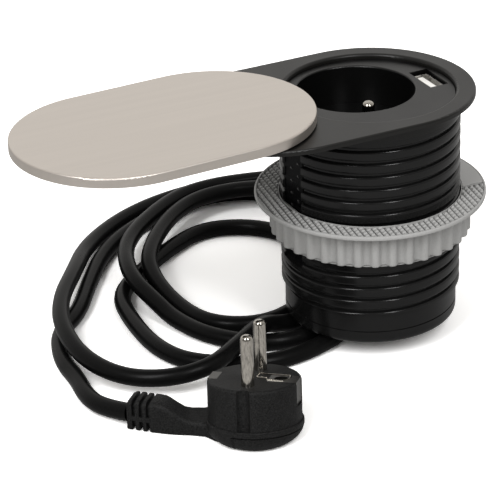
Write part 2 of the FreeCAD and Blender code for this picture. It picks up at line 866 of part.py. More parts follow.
clamp_top = clamp_low + size("clamp_height")
clamp_bar = outlet_box("clamp_bar", size("clamp_reach"), size("clamp_width"), size("clamp_length"),
                       clamp_low, clamp_top)
saddle = outlet_box("clamp_saddle", size("clamp_reach"), size("saddle_width"), size("cord_diameter"),
                    cord_level + cord_radius, clamp_low)
clamp_places = [outlet_point(size("clamp_reach"), size("clamp_screw_spread") * side) for side in (-1, 1)]
clamp_holes = [
    cylinder("clamp_hole_" + str(index), size("screw_shank") + size("screw_gap"),
             clamp_low, clamp_top, *place)
    for index, place in enumerate(clamp_places)
]
node(cut("clamp_with_holes", fuse("clamp_blank", clamp_bar, saddle), *clamp_holes), "cord_clamp")
node(fuse("clamp_screw_set", *[
    screw("clamp_screw_" + str(index), *place, clamp_top, size("clamp_screw_length"), upwards=False)
    for index, place in enumerate(clamp_places)
]), "clamp_screws")


# Socket insert: deck with the recessed well, holes, posts and the USB window

insert = new_body("socket_insert")
deck_disc_plan = new_sketch(insert, "deck_disc_plan", height=deck_under)
circle(deck_disc_plan, size("insert_radius"))
pad(insert, deck_disc_plan, "deck_disc", size("deck_thickness"))
cup_plan = new_sketch(insert, "cup_plan", height=well_under)
circle(cup_plan, size("mouth_radius") + size("well_wall"), mouth_x, mouth_y)
pad(insert, cup_plan, "cup", deck_top - well_under)
mouth_plan = new_sketch(insert, "mouth_plan", height=deck_top)
circle(mouth_plan, size("mouth_radius"), mouth_x, mouth_y)
mouth = pocket(insert, mouth_plan, "mouth", size("well_depth"))
round_edges(insert, mouth, "mouth_soft_edge", size("mouth_round"),
            lambda edge: level(edge, deck_top)
            and abs(edge.Curve.Radius - float(size("mouth_radius"))) < 1e-4)
holes_plan = new_sketch(insert, "contact_holes_plan", height=well_bed)
for side in (-1, 1):
    circle(holes_plan, size("contact_hole"), mouth_x + size("pin_pitch") / 2 * side, mouth_y)
circle(holes_plan, size("earth_root") + size("pin_gap"), mouth_x, mouth_y - size("earth_offset"))
pocket(insert, holes_plan, "contact_holes", size("well_floor"))
post_places = [round_the_axis(size("post_offset"), turn, mouth_x, mouth_y) for turn in POST_TURNS]
posts_plan = new_sketch(insert, "posts_plan", height=carrier_top)
for place in post_places:
    circle(posts_plan, size("post_radius"), *place)
pad(insert, posts_plan, "posts", size("shutter_space"))
pilots_plan = new_sketch(insert, "post_pilots_plan", height=carrier_top)
for place in post_places:
    circle(pilots_plan, size("screw_shank") + size("pin_gap"), *place)
pocket(insert, pilots_plan, "post_pilots", size("carrier_screw_bite"), upwards=True)
window_plan = new_sketch(insert, "usb_window_plan", height=deck_top)
window_west = size("usb_x") - size("window_width") / 2
window_east = size("usb_x") + size("window_width") / 2
window_south = size("usb_y") - size("window_length") / 2
window_north = size("usb_y") + size("window_length") / 2
polygon(window_plan, [
    (window_west, window_south),
    (window_east, window_south),
    (window_east, window_north),
    (window_west, window_north),
])
pocket(insert, window_plan, "usb_window", size("deck_thickness"))
groove_west = board_west - size("relief_gap")
groove_east = board_east + size("relief_gap")
rail_west = groove_west - size("rail_cheek")
rail_east = groove_east + size("rail_cheek_thin")
for side, rail_name in ((-1, "south"), (1, "north")):
    edge = size("usb_y") + size("board_width") / 2 * side
    inside = edge - size("rail_lap") * side
    groove = edge + size("relief_gap") * side
    outside = inside + size("rail_width") * side
    rail_plan = new_sketch(insert, "rail_plan_" + rail_name, height=deck_under)
    polygon(rail_plan, [
        (rail_west, inside),
        (groove_west, inside),
        (groove_west, groove),
        (groove_east, groove),
        (groove_east, inside),
        (rail_east, inside),
        (rail_east, outside),
        (rail_west, outside),
    ])
    pad(insert, rail_plan, "rail_" + rail_name, size("rail_length"), downwards=True)


# Earth pin of the socket

earth_pin = new_body("earth_pin")
earth_top = well_bed + size("earth_height")
earth_pin_section = new_sketch(earth_pin, "earth_pin_section", "XZ_Plane")
polygon(earth_pin_section, [
    (0, tail_low),
    (size("earth_shank"), tail_low),
    (size("earth_shank"), carrier_top),
    (size("earth_collar"), carrier_top),
    (size("earth_collar"), well_under),
    (size("earth_root"), well_under),
    (size("earth_root"), well_bed),
    (size("earth_radius"), well_bed),
    (size("earth_radius"), earth_top),
    (0, earth_top),
])
earth_turned = revolve(earth_pin, earth_pin_section, "earth_turned")
round_edges(earth_pin, earth_turned, "earth_dome", size("plug_pin_round"),
            lambda edge: level(edge, earth_top))
put(earth_pin, mouth_x, mouth_y - size("earth_offset"), 0)


# Live and neutral contacts, their carrier, the shutter and its spring


def contact(label, side):
    body = new_body(label)
    tube_plan = new_sketch(body, label + "_plan")
    circle(tube_plan, size("contact_outer"))
    pad(body, tube_plan, label + "_barrel", size("contact_length"))
    bore_plan = new_sketch(body, label + "_bore_plan", height=size("contact_length"))
    circle(bore_plan, size("contact_inner"))
    pocket(body, bore_plan, label + "_bore", size("contact_length") - size("contact_base"))
    slot_plan = new_sketch(body, label + "_slot_plan", height=size("contact_length"))
    half_slot = size("contact_slot") / 2
    reach = size("contact_outer") + size("cut_margin")
    polygon(slot_plan, [(-half_slot, -reach), (half_slot, -reach), (half_slot, reach), (-half_slot, reach)])
    pocket(body, slot_plan, label + "_slot", size("contact_slot_length"))
    tail_plan = new_sketch(body, label + "_tail_plan")
    half_width = size("contact_tail_width") / 2
    half_thickness = size("contact_tail_thickness") / 2
    polygon(tail_plan, [
        (-half_width, -half_thickness),
        (half_width, -half_thickness),
        (half_width, half_thickness),
        (-half_width, half_thickness),
    ])
    pad(body, tail_plan, label + "_tail", size("contact_tail"), downwards=True)
    put(body, mouth_x + size("pin_pitch") / 2 * side, mouth_y, contact_low)


contact("contact_live", 1)
contact("contact_neutral", -1)

carrier = new_body("contact_carrier")
carrier_plan = new_sketch(carrier, "carrier_plan", height=carrier_under)
circle(carrier_plan, size("carrier_radius"), mouth_x, mouth_y)
pad(carrier, carrier_plan, "carrier_block", size("carrier_height"))
cells_plan = new_sketch(carrier, "contact_cells_plan", height=carrier_top)
tails_plan = new_sketch(carrier, "tail_holes_plan", height=carrier_top)
for side in (-1, 1):
    place = (mouth_x + size("pin_pitch") / 2 * side, mouth_y)
    circle(cells_plan, size("contact_outer") + size("running_gap"), *place)
    circle(tails_plan, size("tail_hole"), *place)
circle(tails_plan, size("earth_shank") + size("running_gap"), mouth_x, mouth_y - size("earth_offset"))
for place in post_places:
    circle(tails_plan, size("screw_shank") + size("screw_gap"), *place)
pocket(carrier, cells_plan, "contact_cells", size("carrier_height") - size("carrier_floor"))
pocket(carrier, tails_plan, "tail_holes")
recess_plan = new_sketch(carrier, "spring_recess_plan", height=carrier_top)
circle(recess_plan, size("spring_recess"), mouth_x, mouth_y)
pocket(carrier, recess_plan, "spring_recess", size("spring_recess_depth"))
post_plan = new_sketch(carrier, "shutter_post_plan", height=carrier_top - size("spring_recess_depth"))
circle(post_plan, size("shutter_post"), mouth_x, mouth_y)
pad(carrier, post_plan, "shutter_post",
    size("spring_recess_depth") + size("shutter_space") - size("relief_gap"))

node(fuse("carrier_screw_set", *[
    screw("carrier_screw_" + str(turn), *place, carrier_under, size("carrier_screw_length"))
    for turn, place in zip(POST_TURNS, post_places)
]), "carrier_screws")

spring_low = carrier_top - size("spring_recess_depth")
node(cut("spring_coil",
         cylinder("spring_outside", size("spring_outer"), spring_low, carrier_top, mouth_x, mouth_y),
         cylinder("spring_inside", size("spring_inner"), spring_low, carrier_top, mouth_x, mouth_y)),
     "shutter_spring")

shutter = new_body("shutter")
shutter_plan = new_sketch(shutter, "shutter_plan")
half_width = size("shutter_width") / 2
polygon(shutter_plan, [
    (-size("shutter_reach"), -half_width),
    (size("shutter_reach"), -half_width),
    (size("shutter_reach"), half_width),
    (-size("shutter_reach"), half_width),
])
pad(shutter, shutter_plan, "shutter_arms", size("shutter_thickness"))
hub_plan = new_sketch(shutter, "shutter_hub_plan")
circle(hub_plan, size("shutter_hub"))
pad(shutter, hub_plan, "shutter_hub", size("shutter_thickness"))
shutter_bore_plan = new_sketch(shutter, "shutter_bore_plan", height=size("shutter_thickness"))
circle(shutter_bore_plan, size("shutter_post") + size("shutter_post_gap"))
pocket(shutter, shutter_bore_plan, "shutter_bore")
put(shutter, mouth_x, mouth_y, carrier_top + (size("shutter_space") - size("shutter_thickness")) / 2)


# USB outlet on its board

usb_south = size("usb_y") - size("usb_length") / 2
usb_north = size("usb_y") + size("usb_length") / 2
usb_east = board_east + size("usb_width")
usb_top = deck_top - size("usb_sink")
usb_low = usb_top - size("usb_depth")
wall = size("usb_wall")
node(cut("usb_can",
         box("usb_outside", board_east, usb_east, usb_south, usb_north, usb_low, usb_top),
         box("usb_inside", board_east + wall, usb_east - wall, usb_south + wall, usb_north - wall,
             usb_low, usb_top)),
     "usb_shell")
tongue_west = board_east + wall + size("tongue_offset")
node(fuse("usb_core",
          box("usb_base", board_east + wall, usb_east - wall, usb_south + wall, usb_north - wall,
              usb_low, usb_low + size("tongue_base")),
          box("usb_blade", tongue_west, tongue_west + size("tongue_thickness"),
              size("usb_y") - size("tongue_length") / 2, size("usb_y") + size("tongue_length") / 2,
              usb_low + size("tongue_base"), usb_top - size("tongue_drop"))),
     "usb_tongue")
node(box("board_blank", board_west, board_east, size("usb_y") - size("board_width") / 2,
         size("usb_y") + size("board_width") / 2, board_low, deck_under),
     "usb_board")
transformer_top = deck_under - size("transformer_drop")
node(box("transformer_block", board_west - size("transformer_depth"), board_west,
         size("transformer_y") - size("transformer_width") / 2,
         size("transformer_y") + size("transformer_width") / 2,
         transformer_top - size("transformer_height"), transformer_top),
     "charger_transformer")
capacitor = doc.addObject("Part::Cylinder", "capacitor_can")
capacitor.Placement = FreeCAD.Placement(Vector(0, 0, 0), FreeCAD.Rotation(Vector(0, 1, 0), 90))
bind(capacitor, Radius=size("capacitor_radius"), Height=size("capacitor_length"))
put(capacitor, board_west - size("capacitor_length"), size("capacitor_y"),
    transformer_top - size("transformer_height") / 2)
node(capacitor, "charger_capacitor")


# Terminal block on the cap's floor, with its screws

block_low = cap_inside + size("terminal_lift")
block_top = block_low + size("terminal_height")
block_west = size("terminal_x") - size("terminal_width") / 2
block_east = size("terminal_x") + size("terminal_width") / 2
block_south = size("terminal_y") - size("terminal_length") / 2
block_north = size("terminal_y") + size("terminal_length") / 2
pole_places = [size("terminal_y") + size("terminal_pitch") * step for step in (-1, 0, 1)]
port_levels = {
    "low": block_low + size("terminal_low_port"),
    "middle": block_low + size("terminal_middle_port"),
    "high": block_low + size("terminal_high_port"),
}


def port(name, west, along, up):
    item = doc.addObject("Part::Cylinder", name)
    item.Placement = FreeCAD.Placement(Vector(0, 0, 0), FreeCAD.Rotation(Vector(0, 1, 0), 90))
    bind(item, Radius=size("terminal_port"), Height=size("terminal_port_depth"))
    put(item, west, along, up)
    return item


ports = []
for index, along in enumerate(pole_places):
    inner_west = block_east - size("terminal_port_depth")
    ports.append(port("port_west_" + str(index), block_west, along, port_levels["middle"]))
    ports.append(port("port_high_" + str(index), inner_west, along, port_levels["high"]))
    ports.append(port("port_low_" + str(index), inner_west, along, port_levels["low"]))
    ports.append(cylinder("terminal_well_" + str(index), size("terminal_screw"),
                          block_top - size("terminal_screw_depth"), block_top,
                          size("terminal_x"), along))
node(cut("terminal_cut",
         fuse("terminal_blank",
              box("terminal_bar", block_west, block_east, block_south, block_north, block_low, block_top),
              box("terminal_foot_south", block_west, block_east, block_south,
                  block_south + size("terminal_foot"), cap_inside, block_low),
              box("terminal_foot_north", block_west, block_east, block_north - size("terminal_foot"),
                  block_north, cap_inside, block_low)),
         *ports), "terminal_block")
node(fuse("terminal_screw_set", *[
    cylinder("terminal_screw_" + str(index), size("terminal_screw") - size("pin_gap"),
             block_top - size("terminal_screw_depth"), block_top - 0.4, size("terminal_x"), along)
    for index, along in enumerate(pole_places)
]), "terminal_screws")


# Wires

WIRE_BEND = 4.0
TAIL_BEND = 1.9
wire = float(size("wire_diameter"))


def point(across, along, up):
    return Vector(float(across), float(along), float(up))


def wire_node(label, routes, bend):
    solids = [rod([point(*place) for place in route], wire, bend)[0] for route in routes]
    shape_node(label, solids[0] if len(solids) == 1 else Part.makeCompound(solids))


port_end_west = block_west + size("terminal_port_depth")
port_end_east = block_east - size("terminal_port_depth")
wire_lane = block_west - 3.5
poles = dict(zip(("earth", "neutral", "live"), pole_places))
wire_ends = {
    "earth": (mouth_x, mouth_y - size("earth_offset")),
    "neutral": (mouth_x - size("pin_pitch") / 2, mouth_y),
    "live": (mouth_x + size("pin_pitch") / 2, mouth_y),
}
WIRE_BENDS = {"earth": (24.0, 18.0), "neutral": (18.0, 11.0), "live": (21.0, 13.0)}
for name, (end_x, end_y) in wire_ends.items():
    drop, rise = WIRE_BENDS[name]
    wire_node("wire_" + name, [[
        (port_end_west, poles[name], port_levels["middle"]),
        (wire_lane, poles[name], port_levels["middle"]),
        (wire_lane, poles[name], tail_low - drop),
        (end_x, end_y, tail_low - rise),
        (end_x, end_y, tail_low),
    ]], WIRE_BEND)

board_middle = board_east - size("board_thickness") / 2
wire_node("usb_feed_wires", [
    [
        (board_middle, poles[name], board_low),
        (board_middle, poles[name], port_levels["high"]),
        (port_end_east, poles[name], port_levels["high"]),
    ]
    for name in ("neutral", "live")
], WIRE_BEND)

CORE_SPREAD = 1.5
CORE_LOW = 0.85
CORE_HIGH = 1.75
tails = []
for name, side, lift, back, high, turn_x_at in (
    ("earth", -CORE_SPREAD, -CORE_LOW, 7.4, "high", 2.0),
    ("neutral", CORE_SPREAD, -CORE_LOW, 7.4, "low", 1.0),
    ("live", 0.0, CORE_HIGH, 5.0, "low", 4.0),
):
    start_x, start_y = outlet_point(-size("tail_reach"), side)
    up_x, up_y = outlet_point(-back, side)
    tails.append([
        (start_x, start_y, cord_level + lift),
        (up_x, up_y, cord_level + lift),
        (up_x, up_y, port_levels[high]),
        (turn_x_at, poles[name], port_levels[high]),
        (port_end_east, poles[name], port_levels[high]),
    ])
wire_node("mains_tails", tails, TAIL_BEND)


# Lid on its pivot: its origin is the pivot, its long side lies along its X axis

LID_PLACE = "placement(vector(-sizes.pivot_offset; 0; 0); rotationz(sizes.lid_turn))"
lid_plate = new_body("cover_plate")
lid_plan = new_sketch(lid_plate, "lid_plan", height=lid_low)
stadium(lid_plan, lid_west, lid_east, size("lid_radius"))
lid_slab = pad(lid_plate, lid_plan, "lid_slab", size("lid_thickness"))
round_edges(lid_plate, lid_slab, "lid_soft_edge", size("lid_edge"), lambda edge: level(edge, lid_top))
lid_hollow_plan = new_sketch(lid_plate, "lid_hollow_plan", height=lid_low)
stadium(lid_hollow_plan, lid_west, lid_east, size("lid_radius") - size("lid_sheet"))
pocket(lid_plate, lid_hollow_plan, "lid_hollow", size("liner_thickness"), upwards=True)
lid_plate.setExpression("Placement", LID_PLACE)

liner = new_body("cover_base")
liner_plan = new_sketch(liner, "liner_plan", height=lid_low)
stadium(liner_plan, lid_west, lid_east, size("lid_radius") - size("lid_sheet") - size("pin_gap"))
pad(liner, liner_plan, "liner_slab", size("liner_thickness"))
liner_bore_plan = new_sketch(liner, "liner_bore_plan", height=lid_low + size("liner_thickness"))
circle(liner_bore_plan, size("pivot_radius") + size("pin_gap"))
pocket(liner, liner_bore_plan, "liner_bore")
head_seat_plan = new_sketch(liner, "head_seat_plan", height=lid_low + size("liner_thickness"))
circle(head_seat_plan, size("pivot_head") + size("pin_gap"))
pocket(liner, head_seat_plan, "head_seat", size("pivot_head_height"))
liner.setExpression("Placement", LID_PLACE)

head_low = lid_under_sheet - size("pivot_head_height")
groove_top = clip_low + size("clip_thickness") + 0.1
pin = new_body("pivot_pin")
pin_section = new_sketch(pin, "pin_section", "XZ_Plane")
polygon(pin_section, [
    (0, size("pivot_low")),
    (size("pivot_radius"), size("pivot_low")),
    (size("pivot_radius"), clip_low),
    (size("pivot_groove"), clip_low),
    (size("pivot_groove"), groove_top),
    (size("pivot_radius"), groove_top),
    (size("pivot_radius"), head_low),
    (size("pivot_head"), head_low),
    (size("pivot_head"), lid_under_sheet),
    (0, lid_under_sheet),
])
revolve(pin, pin_section, "pin_turned")
put(pin, pivot_x, 0, 0)

clip = new_body("pivot_clip")
clip_plan = new_sketch(clip, "clip_plan", height=clip_low)
circle(clip_plan, size("clip_radius"))
circle(clip_plan, size("pivot_groove") + size("pin_gap"))
pad(clip, clip_plan, "clip_ring", size("clip_thickness"))
clip_mouth_plan = new_sketch(clip, "clip_mouth_plan", height=clip_low + size("clip_thickness"))
half_mouth = size("clip_mouth") / 2
polygon(clip_mouth_plan, [
    (-size("clip_radius") - size("cut_margin"), -half_mouth),
    (0, -half_mouth),
    (0, half_mouth),
    (-size("clip_radius") - size("cut_margin"), half_mouth),
])
pocket(clip, clip_mouth_plan, "clip_mouth", size("clip_thickness"))
put(clip, pivot_x, 0, 0)

recess_top = size("pivot_recess_depth")
node(cut("spring_washer_ring",
         cylinder("spring_washer_outside", size("clip_radius"),
                  recess_top - size("spring_washer_thickness"), recess_top, pivot_x, 0),
         cylinder("spring_washer_hole", size("pivot_radius") + size("screw_gap"),
                  recess_top - size("spring_washer_thickness"), recess_top, pivot_x, 0)),
     "spring_washer")
slide_top = lid_low - size("slide_ring_gap")
node(cut("swivel_ring_cut",
         cylinder("swivel_ring_outside", size("slide_ring_radius"), flange_top, slide_top, pivot_x, 0),
         cylinder("swivel_ring_hole", size("pivot_radius") + size("screw_gap") * 2,
                  flange_top, slide_top, pivot_x, 0)),
     "swivel_ring")


# Clamp washer and clamp nut on the thread

washer_bore = size("tube_radius") + size("nut_clearance")
washer = new_body("clamp_washer")
washer_plan = new_sketch(washer, "washer_plan", height=washer_low)
circle(washer_plan, size("washer_radius"))
circle(washer_plan, washer_bore)
pad(washer, washer_plan, "washer_ring", size("washer_thickness"))
key_tab_plan = new_sketch(washer, "key_tab_plan", height=washer_low)
key_tab_reach = size("key_flat") + size("running_gap")
polygon(key_tab_plan, [
    (-washer_bore - size("cut_margin"), -size("key_tab_half_width")),
    (-key_tab_reach, -size("key_tab_half_width")),
    (-key_tab_reach, size("key_tab_half_width")),
    (-washer_bore - size("cut_margin"), size("key_tab_half_width")),
])
pad(washer, key_tab_plan, "key_tab", size("washer_thickness"))

nut = new_body("clamp_nut")
nut_plan = new_sketch(nut, "nut_plan", height=nut_low)
circle(nut_plan, size("nut_radius"))
circle(nut_plan, washer_bore)
pad(nut, nut_plan, "nut_ring", size("nut_height"))
flute_plan = new_sketch(nut, "flute_plan", height=nut_low)
circle(flute_plan, size("flute_radius"), size("nut_radius") + size("flute_radius") - size("flute_depth"), 0)
flute = pocket(nut, flute_plan, "flute", upwards=True)
polar(nut, [flute], flute_plan, "flutes", size("flute_count"))


# Plug, leaning back on its sole: its origin is the middle of the face, its pins lie along its Y axis

plug_depth = size("plug_height") + size("sole_height")
lean = size("plug_lean")
face_level = ground + sine(lean) * size("sole_flat") + cosine(lean) * plug_depth
plug_place = ("placement(vector(sizes.plug_x; sizes.plug_y; " + face_level.formula + "); "
              "rotationz(sizes.plug_heading) * rotationx(-sizes.plug_lean) * rotationz(-sizes.plug_twist))")
body_low = -size("plug_height")

plug = new_body("plug_body")
plug_plan = new_sketch(plug, "plug_plan", height=body_low)
circle(plug_plan, size("plug_radius"))
plug_block = pad(plug, plug_plan, "plug_block", size("plug_height"))
round_edges(plug, plug_block, "plug_soft_edge", size("plug_round"), lambda edge: level(edge, 0))
guide_plan = new_sketch(plug, "guide_plan")
bores_plan = new_sketch(plug, "pin_bores_plan")
for side in (-1, 1):
    circle(guide_plan, size("guide_radius"), 0, size("guide_centre") * side)
    circle(bores_plan, size("plug_pin_shank") + size("pin_gap"), 0, size("pin_pitch") / 2 * side)
pocket(plug, guide_plan, "guide_grooves")
pocket(plug, bores_plan, "pin_bores", size("plug_pin_root"))
strap_face = size("plug_radius") - size("earth_plate_flat")
half_strap = size("earth_plate_width") / 2
flap_plan = new_sketch(plug, "earth_flap_plan")
strap_plan = new_sketch(plug, "earth_strap_plan")
for side, near in ((1, size("earth_plate_near")), (-1, size("earth_plate_left"))):
    room = half_strap + size("pin_gap")
    near_x = (near - size("pin_gap")) * side
    strap_x = strap_face * side
    out_x = (size("plug_radius") + size("cut_margin")) * side
    polygon(flap_plan, [(near_x, -room), (out_x, -room), (out_x, room), (near_x, room)])
    polygon(strap_plan, [(strap_x, -room), (out_x, -room), (out_x, room), (strap_x, room)])
pocket(plug, flap_plan, "earth_flap_seats", size("earth_plate_thickness"))
pocket(plug, strap_plan, "earth_strap_seats", size("earth_plate_drop"))
sleeve_plan = new_sketch(plug, "earth_sleeve_plan")
circle(sleeve_plan, size("earth_sleeve_outer") + size("pin_gap"), size("earth_offset"), 0)
pocket(plug, sleeve_plan, "earth_sleeve_bore", size("earth_sleeve_depth") + size("pin_gap"))
plug.setExpression("Placement", plug_place)


def earth_clip(name, near, side):
    """Bent strip in the plug's side: a flap on the face and a strap down the flank."""
    flat = size("earth_plate_thickness")
    strap_out = strap_face + flat
    west, east = (near, strap_out) if side > 0 else (-strap_out, -near)
    strap_west, strap_east = (strap_face, strap_out) if side > 0 else (-strap_out, -strap_face)
    return fuse(name,
                box(name + "_flap", west, east, -half_strap, half_strap, -flat, 0),
                box(name + "_strap", strap_west, strap_east, -half_strap, half_strap,
                    -size("earth_plate_drop"), 0))


sleeve_low = -size("earth_sleeve_depth")
earth_clips = cut("earth_clips_bored",
                  fuse("earth_clips",
                       earth_clip("earth_clip_right", size("earth_plate_near"), 1),
                       earth_clip("earth_clip_left", size("earth_plate_left"), -1),
                       cylinder("earth_sleeve", size("earth_sleeve_outer"), sleeve_low, 0,
                                size("earth_offset"), 0)),
                  cylinder("earth_sleeve_hole", size("earth_sleeve_bore"), sleeve_low, 0,
                           size("earth_offset"), 0))
earth_clips.setExpression("Placement", plug_place)
node(earth_clips, "plug_earth_contact")

for label, side in (("plug_pin_front", -1), ("plug_pin_back", 1)):
    prong = new_body(label)
    root_plan = new_sketch(prong, label + "_root_plan")
    circle(root_plan, size("plug_pin_shank"), 0, size("pin_pitch") / 2 * side)
    pad(prong, root_plan, label + "_root", size("plug_pin_root"), downwards=True)
    prong_plan = new_sketch(prong, label + "_plan")
    circle(prong_plan, size("plug_pin_radius"), 0, size("pin_pitch") / 2 * side)
    prong_rod = pad(prong, prong_plan, label + "_rod", size("plug_pin_length"))
    round_edges(prong, prong_rod, label + "_dome", size("plug_pin_round"),
                lambda edge: level(edge, size("plug_pin_length")))
    prong.setExpression("Placement", plug_place)

sole = new_body("plug_sole")
sole_section = new_sketch(sole, "sole_section", "XZ_Plane")
sole_low = -plug_depth
polygon(sole_section, [
    (0, sole_low),
    (size("sole_flat"), sole_low),
    (size("sole_mid_radius"), sole_low + size("sole_mid_rise")),
    (size("sole_heel_radius"), sole_low + size("sole_heel_rise")),
    (size("sole_radius"), sole_low + size("sole_rim_rise")),
    (size("sole_radius"), body_low - size("sole_groove")),
    (size("plug_radius") - size("sole_groove"), body_low),
    (0, body_low),
])
revolve(sole, sole_section, "sole_turned")
sole.setExpression("Placement", plug_place)


def along_arm(item, reach, bend_reach, turn, upright=False):
    """Place an item along the arm: out to a reach, then on round the boot's bend."""
    half = size("boot_bend") / 2
    across = as_size(reach) + cosine(half) * bend_reach
    along = -(sine(half) * bend_reach)
    stand = "rotationz(90) * rotationx(90)" if upright else "rotationz(0)"
    item.setExpression("Placement", "placement(vector(" + across.formula + "; " + along.formula + "; 0); "
                       "rotationz(-(" + as_size(turn).formula + ")) * " + stand + ")")
    return item


def oval(name, reach, width, height, bend_reach=0.0, turn=0.0):
    """Upright oval section of the arm."""
    item = doc.addObject("Part::Ellipse", name)
    bind(item, MajorRadius=width / 2, MinorRadius=height / 2)
    return along_arm(item, reach, bend_reach, turn, upright=True)


arm = doc.addObject("Part::Loft", "arm_loft")
arm.Sections = [
    oval("arm_root_section", size("arm_root"), size("arm_root_width"), size("arm_root_height")),
    oval("arm_waist_section", size("arm_waist"), size("arm_waist_width"), size("arm_waist_height")),
    oval("boot_start_section", size("boot_start"), size("boot_start_width"), size("boot_start_height")),
    oval("boot_end_section", size("boot_start"), size("boot_end_width"), size("boot_end_height"),
         size("boot_length"), size("boot_bend")),
]
arm.Solid = True
arm.Ruled = True
boot_slots = []
half_slot = size("boot_slot") / 2
slot_reach = size("boot_slot_reach")
half_width = size("boot_end_width") / 2 - size("boot_slot_depth")
half_height = size("boot_end_height") / 2 - size("boot_slot_depth")
for index in range(4):
    reach = size("boot_slot_first") + size("boot_slot_pitch") * index
    slot = cut("boot_slot_" + str(index),
               box("boot_slot_outside_" + str(index), -half_slot, half_slot,
                   -slot_reach, slot_reach, -slot_reach, slot_reach),
               box("boot_slot_core_" + str(index), -half_slot, half_slot,
                   -half_width, half_width, -half_height, half_height))
    boot_slots.append(along_arm(slot, size("boot_start"), reach,
                                size("boot_bend") * reach / size("boot_length")))
boot = cut("boot_cut", arm,
           cylinder("boot_body_side", size("plug_radius"), size("arm_drop") + body_low, size("arm_drop")),
           cylinder("boot_sole_side", size("sole_radius"), size("arm_drop") - plug_depth,
                    size("arm_drop") + body_low),
           *boot_slots)
boot.setExpression("Placement", plug_place + " * placement(vector(0; 0; -sizes.arm_drop); "
                   "rotationz(180 + sizes.arm_turn))")
node(boot, "plug_boot")


# Cord from the relief to the plug's boot: laid in loops on the ground, crossing itself in low humps.
# Each place is in plan, with the height of the cord's middle above the ground.

LOW = 3.45
HIGH = 10.8
CORD_PLACES = [
    (46.1, 65.6, 6.), (49.0, 88.7, HIGH), (37.9, 108.7, HIGH), (15.1, 119.8, HIGH),
    (-14.4, 124.9, HIGH), (-35.5, 116.3, HIGH), (-64.0, 92.4, HIGH), (-74.7, 63.0, HIGH),
    (-71.4, 44.2, 6.5), (-69.0, 33.2, LOW), (-63.0, 13.7, LOW), (-47.5, -2.4, LOW),
    (-28.5, -4.0, LOW), (-9.4, 7.3, LOW), (6.9, 26.9, LOW), (19.9, 50.4, 4.5), (29.9, 74.4, 10.3),
    (25.9, 96.3, 11.1), (8.3, 113.6, HIGH), (-17.0, 117.2, HIGH), (-38.5, 104.4, HIGH),
    (-60.4, 77.7, HIGH), (-64.7, 61.5, 7.5), (-63.0, 41.0, LOW), (-58.0, 22.9, LOW),
    (-42.1, 13.0, LOW), (-22.6, 17.7, LOW), (-8.0, 32.7, LOW), (4.3, 53.3, LOW), (6.6, 73.8, LOW),
    (-3.0, 92.7, LOW), (-23.8, 101.6, LOW), (-44.2, 91.5, LOW), (-62.0, 78.5, LOW),
    (-79.8, 63.4, LOW), (-84.4, 39.8, LOW), (-85.3, 14.6, LOW), (-77.8, -2.8, LOW),
    (-54.7, -16.9, LOW), (-30.3, -14.5, LOW), (-8.1, -2.4, LOW), (9.5, 17.4, LOW),
    (24.1, 41.2, LOW), (36.1, 69.1, LOW), (42.9, 97.0, LOW), (35.2, 121.5, LOW), (15.1, 135.6, LOW),
    (-17.0, 137.4, LOW), (-46.1, 129.7, LOW), (-74.2, 107.9, 5.), (-90.7, 81.4, 9.),
    (-106.5, 58.6, HIGH), (-115.6, 36.2, HIGH), (-117.2, 12.7, 9.), (-109.2, -4.9, 7.),
    (-94.6, -16.7, 8.), (-77.9, -19.2, 10.2), (-62.4, -10.1, 11.5), (-47.3, 0.4, 11.4),
    (-37.9, 6.1, 6.1), (-27.1, 8.6, LOW), (-14.7, 14.3, LOW), (-1.0, 29.0, LOW), (12.2, 51.9, LOW),
    (23.0, 76.7, LOW), (26.1, 104.1, LOW), (9.7, 126.7, LOW), (-17.0, 130.1, LOW),
    (-46.6, 118.4, LOW), (-68.2, 102.9, LOW), (-86.4, 77.8, LOW), (-99.3, 57.7, LOW),
    (-113.7, 44.9, LOW), (-121.2, 23.5, LOW), (-121.5, 8.5, LOW), (-124.1, -6.2, 3.6),
    (-122.3, -17.8, 3.95),
]
doc.recompute()
boot_tip = Vector(float(size("boot_start")), 0, 0) + Vector(
    math.cos(math.radians(float(size("boot_bend")) / 2)),
    -math.sin(math.radians(float(size("boot_bend")) / 2)), 0) * float(size("boot_length"))
outlet_x, outlet_y = outlet_point(relief_end, 0)
cord_points = [point(outlet_x, outlet_y, cord_level)]
cord_points += [Vector(across, along, height + float(ground)) for across, along, height in CORD_PLACES]
cord_points.append(boot.Placement.multVec(boot_tip))
cord_diameter = float(size("cord_diameter"))
cord_solid, cord_path, cord_bends = rod(cord_points, cord_diameter)
shape_node("cord", cord_solid)
print("cord length", round(cord_path.Length, 1))
print("cord radii", " ".join(str(round(bend, 1)) for bend in cord_bends))


def least_gap(path, diameter, step=3.0):
    """Least gap between stretches of a cord that lie more than six diameters apart along it."""
    places = path.discretize(Distance=step)
    skip = int(diameter * 6 / step)
    least = min(
        (places[first] - places[second]).Length
        for first in range(len(places) - skip)
        for second in range(first + skip, len(places))
    )
    return least - diameter


print("least gap of the cord to itself", round(least_gap(cord_path, cord_diameter), 2))


# Checks and files

doc.recompute()
for item in doc.Objects:
    if "Invalid" in item.State or "Error" in item.State:
        raise RuntimeError(item.Name + " failed")
for item in nodes:
    if item.Shape.isNull() or not item.Shape.isValid():
        raise RuntimeError(item.Label + " has no valid shape")
os.makedirs("parts", exist_ok=True)
for item in nodes:
    item.Shape.exportStep("parts/" + item.Label + ".step")
print("pieces", len(nodes))
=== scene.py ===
import json
import math

import bmesh
import bpy
from mathutils import Matrix, Vector


